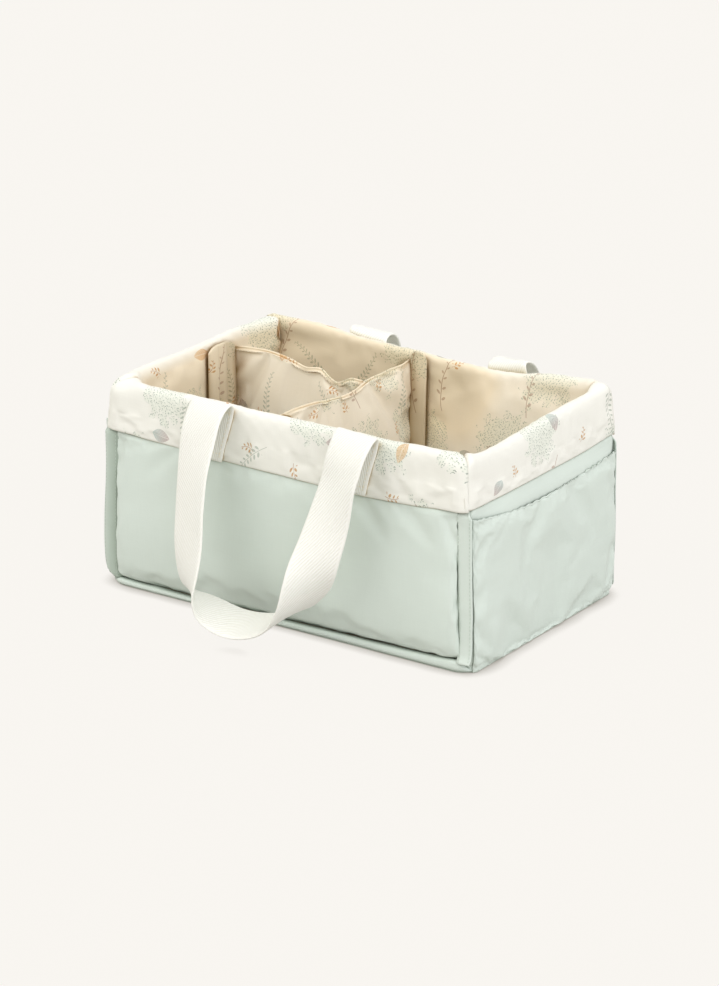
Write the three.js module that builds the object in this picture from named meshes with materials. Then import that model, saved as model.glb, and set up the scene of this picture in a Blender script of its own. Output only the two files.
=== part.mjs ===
// Soft divided storage box: padded cloth walls on a flat base, a printed lining turned down over
// the rim as a cuff, a lift-out T-shaped divider, a slip pocket on each end and two webbing handles.
// Millimetres, +Z up. The origin is on the floor, under the middle of the box.
import * as THREE from 'three';

// Driving dimensions of the box
const INNER_LENGTH = 336;
const INNER_DEPTH = 194;
const RIM_HEIGHT = 184;
const FLARE = 5; // how far each long wall leans out at the rim
const INNER_CORNER = 2; // radius of the inside corners
const CORNER_SQUARENESS = 5; // 2 is a round corner, more is a squarer one
const CLEARANCE = 0.3; // gap kept between pieces that touch

// Wall layers, from the inside outwards
const LINING_THICKNESS = 1.2;
const FOAM_THICKNESS = 7.5;
const PANEL_EDGE = 1.2; // outer cloth where it is pressed flat
const PANEL_FULLNESS = 3.4; // outer cloth with its padding
const CUFF_THICKNESS = 3.2;
const CUFF_DROP = 43;
const HEM_SAG = 6; // how far the long cuffs' hems hang lower in the middle
const HEM_REACH = 60; // height below the hem over which the panels follow its sag
const LONG_CROWN = 4.5; // how far the long panels swell past the cuff
const LOW_SWELL = 5; // padding settles, so the outer layers stand out near the foot
const SWELL_POWER = 0.42; // below 1 it moves the fullest height down
const FOAM_SETBACK = 3; // foam of the long walls stops short of the corner seams
const RIM_LOFT = 6.5; // height of the rounded top of the rim
const FOLD_THICKNESS = 1.8; // lining where it turns over the top

// Corner bindings
const BINDING_WIDTH = 11.5;
const BINDING_FROM_CORNER = 4.3; // the end panel's edge shows beyond the binding
const BINDING_THICKNESS = 3.2;
const PANEL_CORNER = 2.4; // rounding of the end panels' edges at the corners

// Base
const BASE_CLOTH_THICKNESS = 1.2;
const BASE_CORNER = 18;
const ROLL_HEIGHT = 5; // rolled edge round the base
const ROLL_WIDTH = 7.5;
const ROLL_OUT_END = 8.3; // rolled edge past the foot of the end panels
const ROLL_OUT_LONG = 5.3; // rolled edge past the foot of the long panels
const BOARD_THICKNESS = 3;
const BASE_PAD_THICKNESS = 5.7;

// End pockets
const POCKET_BAND = 10; // cloth seen between the cuff and the ends of the pocket mouth
const MOUTH_SAG = 8.5; // how far the mouth hangs lower in the middle
const POCKET_SHEET = 1.3;
const POCKET_GAP = 7.4; // how far the mouth stands open
const POCKET_SIDE = 4; // pocket's side seams, in from the corners
const POCKET_RECESS = 2; // end panel is flatter behind the pocket
const POCKET_FOOT = 20; // height over which the pocket closes to its bottom seam

// Divider
const DIVIDER_THICKNESS = 7;
const DIVIDER_EDGE = 3.6; // thickness at the top seam
const DIVIDER_COVER = 0.9;
const CROSS_X = -18; // middle of the divider that runs front to back
const CROSS_TOP = 176.5;
const CROSS_SAG = 6.5;
const LONG_Y_END = 46; // middle of the long divider at the left wall
const LONG_Y_CROSS = 32; // and where it meets the cross divider
const LONG_TOP = 175;
const LONG_SAG = 10;
const FLAP_THICKNESS = 1.5;
const CROSS_FLAP_WIDTH = 16;
const LONG_FLAP_WIDTH = 34;
const FLAP_DROP = 3; // flaps end below the divider's top
const TAPE_THICKNESS = 1;
const TAPE_MARGIN = 3; // tapes are set in from the edges of the flaps
const TAPE_HEIGHT = 120;
const TAPE_FOOT = 30; // height of the tapes' lower ends

// Handles
const WEBBING_WIDTH = 38;
const WEBBING_THICKNESS = 2.2;
const HANDLE_HALF_SPACING = 72; // from the handle's middle to each leg
const HANDLE_SHIFT = { front: 7, back: 1.5 }; // along each wall, off its middle
const HANDLE_STAND_OFF = 4.4; // swing line, outside the sewn ends
const HANDLE_RISE = 3.5; // swing line above the rim
const TAB_BEND = 4; // radius of the sewn end's bend over the rim
const LOOP_DROP = 173; // length of the hanging loop
const LOOP_TILT = 0.27; // radians it stands away from the wall
const LOOP_BOW = 12; // outward bow of its legs
const LOOP_DRIFT = -8; // sideways lean of its lowest point
const LOOP_SHOULDER = 122; // how far down the legs start to draw together
const LOOP_BOTTOM_HALF = 55; // half width of the rounded bottom
const LOOP_TURN = 2.15; // radians each leg is twisted by at the bottom
const LOOP_EARLY_TURN = 0.2; // share of the twist that is spread evenly down the leg
const LOOP_TURN_FROM = 0.5; // where down the leg the rest of the twist starts
const LOOP_TURN_TO = 0.95; // and where it ends

// Numbers of steps along the curved forms
const ARC_STEPS = 8;
const CORNER_STEPS = 4;
const PANEL_COLUMNS = 16;
const CUFF_COLUMNS = 8;
const PANEL_ROWS = 12;
const RIBBON_STEPS = 44;

// Places that follow from the sizes
const HALF_LENGTH = INNER_LENGTH / 2;
const HALF_DEPTH = INNER_DEPTH / 2;
const FOAM_IN = LINING_THICKNESS + CLEARANCE;
const FOAM_OUT = FOAM_IN + FOAM_THICKNESS;
const PANEL_IN = FOAM_OUT + CLEARANCE;
const PANEL_FLAT = PANEL_IN + PANEL_EDGE;
const CUFF_IN = PANEL_FLAT + CLEARANCE;
const CUFF_OUT = CUFF_IN + CUFF_THICKNESS;
const PANEL_FULL = PANEL_IN + PANEL_FULLNESS;
const HEM_HEIGHT = RIM_HEIGHT - CUFF_DROP;
const BOARD_FOOT = BASE_CLOTH_THICKNESS + CLEARANCE;
const ROLL_TOP = BOARD_FOOT + ROLL_HEIGHT;
const WALL_FOOT = BOARD_FOOT + BOARD_THICKNESS + CLEARANCE;
const BASE_PAD_TOP = WALL_FOOT + BASE_PAD_THICKNESS;
const BASE_LINING_FOOT = BASE_PAD_TOP + CLEARANCE;
const FLOOR = BASE_LINING_FOOT + LINING_THICKNESS;
const PANEL_FOOT = ROLL_TOP + CLEARANCE;
const PANEL_HEAD = HEM_HEIGHT - CLEARANCE;
const BASE_HALF_LENGTH = HALF_LENGTH + PANEL_FULL + ROLL_OUT_END;
const BASE_HALF_DEPTH = HALF_DEPTH + PANEL_FULL + ROLL_OUT_LONG;

// Directions of the four walls: along the wall and out of the box
const SIDES = {
  front: { along: [1, 0], out: [0, -1], halfRun: HALF_LENGTH, halfOut: HALF_DEPTH, hemSag: HEM_SAG },
  right: { along: [0, 1], out: [1, 0], halfRun: HALF_DEPTH, halfOut: HALF_LENGTH, hemSag: 0 },
  back: { along: [-1, 0], out: [0, 1], halfRun: HALF_LENGTH, halfOut: HALF_DEPTH, hemSag: HEM_SAG },
  left: { along: [0, -1], out: [-1, 0], halfRun: HALF_DEPTH, halfOut: HALF_LENGTH, hemSag: 0 },
};

// Materials
const cloth = (color, roughness) => new THREE.MeshStandardMaterial({ color, roughness, metalness: 0 });
const sageCloth = cloth(0xd3ddd3, 0.9);
const printedCloth = cloth(0xf3ebdd, 0.9);
const foam = cloth(0xf4f1e6, 0.95);
const board = cloth(0xb9a888, 0.8);
const webbing = cloth(0xf7f5ec, 0.85);
const tape = cloth(0xefe8d9, 0.95);

const box = new THREE.Group();

function addPiece(parent, name, geometry, material) {
  const mesh = new THREE.Mesh(geometry, material);
  mesh.name = name;
  parent.add(mesh);
}

// The long walls lean outwards, so every depth grows with height
function lean(y, z) {
  return y * (1 + (FLARE / HALF_DEPTH) * (z / RIM_HEIGHT));
}

// A point s along a wall, d outside its inner face and z up, turned by angle round the corner
function onWall(side, s, d, z, angle = 0) {
  const turn = INNER_CORNER + d;
  const power = CORNER_SQUARENESS;
  const sine = Math.abs(Math.sin(angle));
  const cosine = Math.cos(angle);
  const swell = 1 / (sine ** power + cosine ** power) ** (1 / power);
  const run = s + turn * swell * Math.sin(angle);
  const reach = side.halfOut - INNER_CORNER + turn * swell * cosine;
  const x = side.along[0] * run + side.out[0] * reach;
  const y = side.along[1] * run + side.out[1] * reach;
  return new THREE.Vector3(x, lean(y, z), z);
}

// How far the outer layers stand out at a height, where the padding has settled
function settled(z) {
  const share = THREE.MathUtils.clamp((z - PANEL_FOOT) / (PANEL_HEAD - HEM_SAG - PANEL_FOOT), 0, 1);
  return LOW_SWELL * Math.sin(Math.PI * share ** SWELL_POWER);
}

// A point of the outer layers, which the settled padding pushes out of the box on all sides
function onShell(side, s, d, z) {
  const out = settled(z);
  return onWall(side, s * (1 + out / side.halfRun), d + out, z);
}

// How far the hem hangs below its ends at a place along a wall
function hemDip(side, s) {
  return side.hemSag * Math.max(0, 1 - (s / side.halfRun) ** 2);
}

// A closed solid through matching outlines: flat holds each outline's own two coordinates,
// and place turns them into points of the solid
function loft(rings) {
  const count = rings[0].flat.length;
  const positions = [];
  for (const ring of rings) {
    for (const point of ring.flat) {
      positions.push(...ring.place(point).toArray());
    }
  }
  const faces = [];
  for (let r = 0; r < rings.length - 1; r += 1) {
    for (let i = 0; i < count; i += 1) {
      const a = r * count + i;
      const b = r * count + ((i + 1) % count);
      faces.push([a, b, b + count], [a, b + count, a + count]);
    }
  }
  const turnsLeft = THREE.ShapeUtils.area(rings[0].flat) > 0;
  const last = (rings.length - 1) * count;
  for (const [a, b, c] of THREE.ShapeUtils.triangulateShape(rings[0].flat, [])) {
    faces.push(turnsLeft ? [c, b, a] : [a, b, c]);
  }
  for (const [a, b, c] of THREE.ShapeUtils.triangulateShape(rings[rings.length - 1].flat, [])) {
    faces.push(turnsLeft ? [last + a, last + b, last + c] : [last + c, last + b, last + a]);
  }
  return outwardSolid(positions, faces);
}

// Turns the faces outwards, whichever way the outlines ran
function outwardSolid(positions, faces) {
  const corner = (i) => new THREE.Vector3().fromArray(positions, 3 * i);
  let volume = 0;
  for (const [a, b, c] of faces) {
    volume += corner(a).dot(corner(b).cross(corner(c)));
  }
  const wound = volume > 0 ? faces : faces.map(([a, b, c]) => [c, b, a]);
  const geometry = new THREE.BufferGeometry();
  geometry.setAttribute('position', new THREE.Float32BufferAttribute(positions, 3));
  geometry.setIndex(wound.flat());
  return geometry;
}

// Values from -1 to 1, closer together at both ends
function easedSteps(count) {
  return Array.from({ length: count + 1 }, (_, i) => -Math.cos((Math.PI * i) / count));
}

function levelSteps(from, to, count) {
  return easedSteps(count).map((t) => from + ((t + 1) / 2) * (to - from));
}

// Heights of the outlines of everything on the outside of the walls
const PANEL_LEVELS = levelSteps(PANEL_FOOT, PANEL_HEAD, PANEL_ROWS);

function rectangle(left, bottom, right, top) {
  return [
    new THREE.Vector2(left, bottom),
    new THREE.Vector2(right, bottom),
    new THREE.Vector2(right, top),
    new THREE.Vector2(left, top),
  ];
}

// A plain slab on a wall, between two places along it and two depths, through a list of heights
function wallSlab(side, s0, s1, d0, d1, heights, onSurface = onWall) {
  const flat = rectangle(s0, d0, s1, d1);
  return loft(heights.map((z) => ({ flat, place: (p) => onSurface(side, p.x, p.y, z) })));
}

function roundedRectangle(halfLength, halfDepth, radius, z, steps) {
  const points = [];
  const corners = [[1, -1], [1, 1], [-1, 1], [-1, -1]];
  corners.forEach(([sx, sy], k) => {
    const start = -Math.PI / 2 + (k * Math.PI) / 2;
    for (let i = 0; i <= steps; i += 1) {
      const angle = start + ((Math.PI / 2) * i) / steps;
      const x = sx * (halfLength - radius) + radius * Math.cos(angle);
      const y = sy * (halfDepth - radius) + radius * Math.sin(angle);
      points.push(new THREE.Vector2(x, y));
    }
  });
  return { flat: points, place: (p) => new THREE.Vector3(p.x, lean(p.y, z), z) };
}

function baseSlab(halfLength, halfDepth, radius, z0, z1) {
  return loft([z0, z1].map((z) => roundedRectangle(halfLength, halfDepth, radius, z, CORNER_STEPS)));
}

// The rolled edge: a ring with a rounded outer side
function rolledEdge() {
  const positions = [];
  const faces = [];
  const profile = [];
  for (let i = 0; i <= ARC_STEPS; i += 1) {
    const angle = -Math.PI / 2 + (Math.PI * i) / ARC_STEPS;
    const inset = (1 - Math.cos(angle)) * (ROLL_HEIGHT / 2);
    profile.push([inset, BOARD_FOOT + (ROLL_HEIGHT / 2) * (1 + Math.sin(angle))]);
  }
  profile.push([ROLL_WIDTH, ROLL_TOP], [ROLL_WIDTH, BOARD_FOOT]);
  const loops = profile.map(([inset, z]) => {
    const ring = roundedRectangle(
      BASE_HALF_LENGTH - inset, BASE_HALF_DEPTH - inset, BASE_CORNER - inset, z, CORNER_STEPS);
    return ring.flat.map(ring.place);
  });
  loops.forEach((loop) => loop.forEach((point) => positions.push(...point.toArray())));
  const count = loops[0].length;
  loops.forEach((_, r) => {
    const next = (r + 1) % loops.length;
    for (let i = 0; i < count; i += 1) {
      const j = (i + 1) % count;
      faces.push(
        [r * count + i, r * count + j, next * count + j],
        [r * count + i, next * count + j, next * count + i]);
    }
  });
  return outwardSolid(positions, faces);
}

function addBase() {
  addPiece(box, 'base_cloth',
    baseSlab(BASE_HALF_LENGTH, BASE_HALF_DEPTH, BASE_CORNER, 0, BASE_CLOTH_THICKNESS), sageCloth);
  addPiece(box, 'base_rolled_edge', rolledEdge(), sageCloth);
  const seat = ROLL_WIDTH + CLEARANCE;
  addPiece(box, 'base_board',
    baseSlab(BASE_HALF_LENGTH - seat, BASE_HALF_DEPTH - seat, BASE_CORNER - seat,
      BOARD_FOOT, BOARD_FOOT + BOARD_THICKNESS), board);
  const padLength = HALF_LENGTH - CLEARANCE;
  const padDepth = HALF_DEPTH - CLEARANCE;
  addPiece(box, 'base_padding',
    baseSlab(padLength, padDepth, INNER_CORNER, WALL_FOOT, BASE_PAD_TOP), foam);
  addPiece(box, 'base_lining',
    baseSlab(padLength, padDepth, INNER_CORNER, BASE_LINING_FOOT, FLOOR), printedCloth);
}

// The lining in section: up the inside, over the rounded rim and down the outside to the hem
function cuffProfile(dip) {
  const points = [new THREE.Vector2(0, WALL_FOOT)];
  const mid = CUFF_OUT / 2;
  const shoulder = RIM_HEIGHT - RIM_LOFT;
  for (let i = 0; i <= ARC_STEPS; i += 1) {
    const angle = Math.PI - (Math.PI * i) / ARC_STEPS;
    points.push(new THREE.Vector2(mid + mid * Math.cos(angle), shoulder + RIM_LOFT * Math.sin(angle)));
  }
  const hem = HEM_HEIGHT - dip;
  points.push(new THREE.Vector2(CUFF_OUT, hem), new THREE.Vector2(CUFF_IN, hem));
  const innerMid = (CUFF_IN + LINING_THICKNESS) / 2;
  const innerHalf = (CUFF_IN - LINING_THICKNESS) / 2;
  for (let i = 0; i <= ARC_STEPS; i += 1) {
    const angle = (Math.PI * i) / ARC_STEPS;
    points.push(new THREE.Vector2(
      innerMid + innerHalf * Math.cos(angle),
      shoulder + (RIM_LOFT - FOLD_THICKNESS) * Math.sin(angle)));
  }
  points.push(new THREE.Vector2(LINING_THICKNESS, WALL_FOOT));
  return points;
}

// Lining of one wall, mitred against its neighbours in the middle of each corner
function liningAndCuff(side) {
  const straight = side.halfRun - INNER_CORNER;
  const rings = [];
  const addCorner = (sign, i) => {
    const flat = cuffProfile(hemDip(side, straight));
    const angle = (sign * (Math.PI / 4) * i) / CORNER_STEPS;
    const gap = i === CORNER_STEPS ? (sign * CLEARANCE) / 2 : 0;
    const place = (p) => {
      const point = onWall(side, sign * straight, p.x, p.y, angle);
      point.x -= gap * (side.along[0] * Math.cos(angle) - side.out[0] * Math.sin(angle));
      point.y -= gap * (side.along[1] * Math.cos(angle) - side.out[1] * Math.sin(angle));
      return point;
    };
    rings.push({ flat, place });
  };
  for (let i = CORNER_STEPS; i > 0; i -= 1) {
    addCorner(-1, i);
  }
  for (let i = 0; i <= CUFF_COLUMNS; i += 1) {
    const s = straight * (-1 + (2 * i) / CUFF_COLUMNS);
    rings.push({ flat: cuffProfile(hemDip(side, s)), place: (p) => onWall(side, s, p.x, p.y) });
  }
  for (let i = 1; i <= CORNER_STEPS; i += 1) {
    addCorner(1, i);
  }
  return loft(rings);
}

// Foam of one wall, rounded to fit inside the fold at the rim
function wallFoam(side, halfWidth) {
  const top = RIM_HEIGHT - RIM_LOFT - CLEARANCE;
  const loftHeight = RIM_LOFT - FOLD_THICKNESS - CLEARANCE;
  const mid = (FOAM_IN + FOAM_OUT) / 2;
  const flat = [WALL_FOOT, ...PANEL_LEVELS].map((z) => new THREE.Vector2(FOAM_OUT + settled(z), z));
  for (let i = 0; i <= ARC_STEPS; i += 1) {
    const angle = (Math.PI * i) / ARC_STEPS;
    flat.push(new THREE.Vector2(
      mid + (FOAM_THICKNESS / 2) * Math.cos(angle), top + loftHeight * Math.sin(angle)));
  }
  flat.push(new THREE.Vector2(FOAM_IN, WALL_FOOT));
  return loft([-halfWidth, halfWidth].map((s) => ({ flat, place: (p) => onWall(side, s, p.x, p.y) })));
}

// An outer panel: pressed flat under the cuff, then swelling as outerFace says down to its foot
function outerPanel(side, halfWidth, tongueHalfWidth, outerFace) {
  const ring = (z, half, face) => {
    const flat = [new THREE.Vector2(half, PANEL_IN), new THREE.Vector2(-half, PANEL_IN)];
    for (const t of easedSteps(PANEL_COLUMNS)) {
      flat.push(new THREE.Vector2(t * half, face(t, z)));
    }
    const hung = THREE.MathUtils.smoothstep(z, HEM_HEIGHT - HEM_REACH, PANEL_HEAD);
    return { flat, place: (p) => onShell(side, p.x, p.y, z - hung * hemDip(side, p.x)) };
  };
  const pressed = () => PANEL_FLAT;
  const rings = PANEL_LEVELS.map((z) => ring(z, halfWidth, outerFace));
  rings.push(ring(PANEL_HEAD, tongueHalfWidth, pressed));
  rings.push(ring(RIM_HEIGHT - RIM_LOFT - CLEARANCE, tongueHalfWidth, pressed));
  return loft(rings);
}

// Padding drawn in at the side seams: 0 at the seams, 1 over most of the width
const drawnIn = (t) => Math.sqrt(Math.max(0, 1 - t ** 8));

// Padding drawn in at the foot: 0 at the bottom seam, 1 a little way up
function footRise(z) {
  const height = Math.min(1, (z - PANEL_FOOT) / (2 * PANEL_FULLNESS));
  return Math.sqrt(1 - (1 - height) ** 2);
}

function longPanelFace(t, z) {
  const share = (z - PANEL_FOOT) / (PANEL_HEAD - PANEL_FOOT);
  const swell = LONG_CROWN * Math.sin(Math.PI * share ** 0.8);
  const full = PANEL_FULL - PANEL_FLAT + swell;
  return PANEL_FLAT + full * drawnIn(t) * footRise(z);
}

const MOUTH_HEIGHT = HEM_HEIGHT - POCKET_BAND;
const mouthDip = (t) => MOUTH_SAG * (1 - t * t);
const END_PANEL_HALF = HALF_DEPTH + PANEL_FULL;

function endPanelFace(t, z) {
  const behindPocket = z < MOUTH_HEIGHT - mouthDip(t) ? POCKET_RECESS * drawnIn(t) : 0;
  const fromEdge = (1 - Math.abs(t)) * END_PANEL_HALF;
  const short = Math.max(0, PANEL_CORNER - fromEdge);
  const rounded = PANEL_CORNER - Math.sqrt(PANEL_CORNER ** 2 - short ** 2);
  return PANEL_FULL - behindPocket - rounded;
}

// A pocket: one sheet whose side and bottom seams lie on the end panel and whose mouth stands open
function endPocket(side) {
  const half = END_PANEL_HALF - POCKET_SIDE;
  const seam = PANEL_FULL + CLEARANCE;
  const open = POCKET_GAP + settled(MOUTH_HEIGHT);
  const innerFace = (t, z) => {
    const rise = Math.min(1, (z - PANEL_FOOT) / POCKET_FOOT);
    return seam + (open - settled(z)) * drawnIn(t) * Math.sqrt(1 - (1 - rise) ** 2);
  };
  const steps = easedSteps(PANEL_COLUMNS);
  const rings = levelSteps(PANEL_FOOT, MOUTH_HEIGHT, PANEL_ROWS).map((z) => {
    const flat = steps.map((t) => new THREE.Vector2(t * half, innerFace(t, z)));
    for (const t of [...steps].reverse()) {
      flat.push(new THREE.Vector2(t * half, innerFace(t, z) + POCKET_SHEET));
    }
    const hung = ((z - PANEL_FOOT) / (MOUTH_HEIGHT - PANEL_FOOT)) ** 2;
    return { flat, place: (p) => onShell(side, p.x, p.y, z - hung * mouthDip(p.x / half)) };
  });
  return loft(rings);
}

function addWalls() {
  const longPanelHalf = HALF_LENGTH + PANEL_FULL - BINDING_FROM_CORNER - BINDING_WIDTH - CLEARANCE;
  const endTongueHalf = HALF_DEPTH - INNER_CORNER;
  for (const name of ['front', 'back']) {
    const side = SIDES[name];
    addPiece(box, `${name}_wall_foam`, wallFoam(side, HALF_LENGTH + FOAM_SETBACK), foam);
    addPiece(box, `${name}_outer_panel`,
      outerPanel(side, longPanelHalf, longPanelHalf, longPanelFace), sageCloth);
    addPiece(box, `${name}_lining_cuff`, liningAndCuff(side), printedCloth);
    for (const sign of [-1, 1]) {
      const end = side.along[0] * sign > 0 ? 'right' : 'left';
      const near = sign * (HALF_LENGTH + PANEL_FULL - BINDING_FROM_CORNER - BINDING_WIDTH);
      const far = sign * (HALF_LENGTH + PANEL_FULL - BINDING_FROM_CORNER);
      addPiece(box, `${name}_${end}_corner_binding`,
        wallSlab(side, Math.min(near, far), Math.max(near, far),
          PANEL_IN, PANEL_IN + BINDING_THICKNESS, PANEL_LEVELS, onShell), sageCloth);
    }
  }
  for (const name of ['left', 'right']) {
    const side = SIDES[name];
    addPiece(box, `${name}_wall_foam`, wallFoam(side, HALF_DEPTH + FOAM_IN - CLEARANCE), foam);
    addPiece(box, `${name}_outer_panel`,
      outerPanel(side, END_PANEL_HALF, endTongueHalf, endPanelFace), sageCloth);
    addPiece(box, `${name}_lining_cuff`, liningAndCuff(side), printedCloth);
    addPiece(box, `${name}_end_pocket`, endPocket(side), sageCloth);
  }
}

// Half thickness of a divider, fullest in the middle of its height and thin at the top seam
function dividerHalf(share) {
  const full = DIVIDER_THICKNESS / 2;
  const edge = DIVIDER_EDGE / 2;
  return edge + (full - edge) * Math.sin(Math.PI * (0.5 + 0.5 * share)) ** 0.6;
}

const DIVIDER_FOOT = FLOOR + CLEARANCE;
const DIVIDER_LEVELS = [0, 0.35, 0.6, 0.8, 0.92, 1];

// Cover of a divider in section at one place: a folded sheet, open at the foot
function coverOutline(top) {
  const height = top - DIVIDER_FOOT;
  const outer = DIVIDER_LEVELS.map((v) => [dividerHalf(v), DIVIDER_FOOT + v * height]);
  const inner = DIVIDER_LEVELS.map((v) => {
    return [dividerHalf(v) - DIVIDER_COVER, DIVIDER_FOOT + v * (height - DIVIDER_COVER)];
  });
  const points = [];
  outer.forEach(([h, z]) => points.push(new THREE.Vector2(h, z)));
  [...outer].reverse().forEach(([h, z]) => points.push(new THREE.Vector2(-h, z)));
  inner.forEach(([h, z]) => points.push(new THREE.Vector2(-h, z)));
  [...inner].reverse().forEach(([h, z]) => points.push(new THREE.Vector2(h, z)));
  return points;
}

// Foam inside the cover at one place
function fillOutline(top) {
  const height = top - DIVIDER_COVER - CLEARANCE - DIVIDER_FOOT;
  const half = (v) => dividerHalf(v) - DIVIDER_COVER - CLEARANCE;
  const points = [];
  DIVIDER_LEVELS.forEach((v) => points.push(new THREE.Vector2(half(v), DIVIDER_FOOT + v * height)));
  [...DIVIDER_LEVELS].reverse().forEach((v) => {
    points.push(new THREE.Vector2(-half(v), DIVIDER_FOOT + v * height));
  });
  return points;
}

const DIVIDER_STATIONS = 12;
const CROSS_END = HALF_DEPTH - 2 * CLEARANCE;
const LONG_END = -HALF_LENGTH + 2 * CLEARANCE;
const LONG_BUTT = CROSS_X - DIVIDER_THICKNESS / 2 - CLEARANCE;

function crossDivider(outline) {
  const rings = [];
  for (let i = 0; i <= DIVIDER_STATIONS; i += 1) {
    const t = -1 + (2 * i) / DIVIDER_STATIONS;
    const flat = outline(CROSS_TOP - CROSS_SAG * (1 - t * t));
    rings.push({ flat, place: (p) => new THREE.Vector3(CROSS_X + p.x, lean(t * CROSS_END, p.y), p.y) });
  }
  return loft(rings);
}

function longDivider(outline) {
  const rings = [];
  for (let i = 0; i <= DIVIDER_STATIONS; i += 1) {
    const t = i / DIVIDER_STATIONS;
    const x = LONG_END + (LONG_BUTT - LONG_END) * t;
    const y = LONG_Y_END + (LONG_Y_CROSS - LONG_Y_END) * t;
    const flat = outline(LONG_TOP - LONG_SAG * Math.sin(Math.PI * t ** 1.7));
    rings.push({ flat, place: (p) => new THREE.Vector3(x, lean(y + p.x, p.y), p.y) });
  }
  return loft(rings);
}

// Flap of the divider against a wall, with a hook tape behind it and a loop tape on the lining
const LOOP_TAPE_OUT = -CLEARANCE;
const LOOP_TAPE_IN = LOOP_TAPE_OUT - TAPE_THICKNESS;
const HOOK_TAPE_OUT = LOOP_TAPE_IN - CLEARANCE;
const HOOK_TAPE_IN = HOOK_TAPE_OUT - TAPE_THICKNESS;
const FLAP_OUT = HOOK_TAPE_IN - CLEARANCE;
const FLAP_IN = FLAP_OUT - FLAP_THICKNESS;

function addFlap(insert, side, sideName, flapName, s0, s1, top) {
  const tapeHeights = [TAPE_FOOT, TAPE_FOOT + TAPE_HEIGHT];
  addPiece(insert, flapName,
    wallSlab(side, s0, s1, FLAP_IN, FLAP_OUT, [DIVIDER_FOOT, top - FLAP_DROP]), printedCloth);
  addPiece(insert, `${sideName}_hook_tape`,
    wallSlab(side, s0 + TAPE_MARGIN, s1 - TAPE_MARGIN, HOOK_TAPE_IN, HOOK_TAPE_OUT, tapeHeights), tape);
  addPiece(box, `${sideName}_loop_tape`,
    wallSlab(side, s0 + TAPE_MARGIN, s1 - TAPE_MARGIN, LOOP_TAPE_IN, LOOP_TAPE_OUT, tapeHeights), tape);
}

function addDivider() {
  const insert = new THREE.Group();
  addPiece(insert, 'cross_divider_cover', crossDivider(coverOutline), printedCloth);
  addPiece(insert, 'cross_divider_foam', crossDivider(fillOutline), foam);
  addPiece(insert, 'long_divider_cover', longDivider(coverOutline), printedCloth);
  addPiece(insert, 'long_divider_foam', longDivider(fillOutline), foam);
  const crossFace = CROSS_X + DIVIDER_THICKNESS / 2 + CLEARANCE;
  addFlap(insert, SIDES.front, 'front', 'cross_divider_front_flap',
    crossFace, crossFace + CROSS_FLAP_WIDTH, CROSS_TOP);
  addFlap(insert, SIDES.back, 'back', 'cross_divider_back_flap',
    -crossFace - CROSS_FLAP_WIDTH, -crossFace, CROSS_TOP);
  const longFace = LONG_Y_END - DIVIDER_THICKNESS / 2 - 2 * CLEARANCE;
  addFlap(insert, SIDES.left, 'left', 'long_divider_end_flap',
    -longFace, -longFace + LONG_FLAP_WIDTH, LONG_TOP);
  box.add(insert);
}

// Swing line of a handle: outside the cuff and a little above the rim
const TAB_FACE = CUFF_OUT + CLEARANCE;
const TAB_MIDDLE = TAB_FACE + WEBBING_THICKNESS / 2;
const SWING_OUT = TAB_MIDDLE + HANDLE_STAND_OFF;
const SWING_HEIGHT = RIM_HEIGHT + HANDLE_RISE;
const SWING_DEPTH = lean(HALF_DEPTH + SWING_OUT, SWING_HEIGHT);

// A flat band along a path of frames: each has a middle, a width direction and a face direction
function band(frames) {
  const flat = rectangle(
    -WEBBING_WIDTH / 2, -WEBBING_THICKNESS / 2, WEBBING_WIDTH / 2, WEBBING_THICKNESS / 2);
  return loft(frames.map(({ middle, across, face }) => ({
    flat,
    place: (p) => middle.clone().addScaledVector(across, p.x).addScaledVector(face, p.y),
  })));
}

// The sewn end of a handle: up the cuff from the hem, then bent outwards to the swing line
function handleTab(side, s) {
  const endGap = (WEBBING_THICKNESS / 2) * Math.SQRT2 + CLEARANCE;
  const bendStart = SWING_HEIGHT - TAB_BEND;
  const foot = HEM_HEIGHT - hemDip(side, s) + CLEARANCE;
  const path = [[TAB_MIDDLE, foot], [TAB_MIDDLE, bendStart]];
  for (let i = 1; i <= ARC_STEPS; i += 1) {
    const angle = (Math.PI / 2) * (i / ARC_STEPS);
    path.push([TAB_MIDDLE + TAB_BEND * (1 - Math.cos(angle)), bendStart + TAB_BEND * Math.sin(angle)]);
  }
  const endOut = SWING_OUT - endGap;
  const reached = path.filter(([d]) => d < endOut);
  const points = reached.map(([d, z]) => onWall(side, s, d, z));
  const along = new THREE.Vector3(side.along[0], side.along[1], 0);
  const frames = points.map((middle, i) => {
    const before = points[Math.max(0, i - 1)];
    const after = points[Math.min(points.length - 1, i + 1)];
    const heading = after.clone().sub(before).normalize();
    return { middle, across: along, face: heading.clone().cross(along) };
  });
  return band(frames);
}

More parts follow.
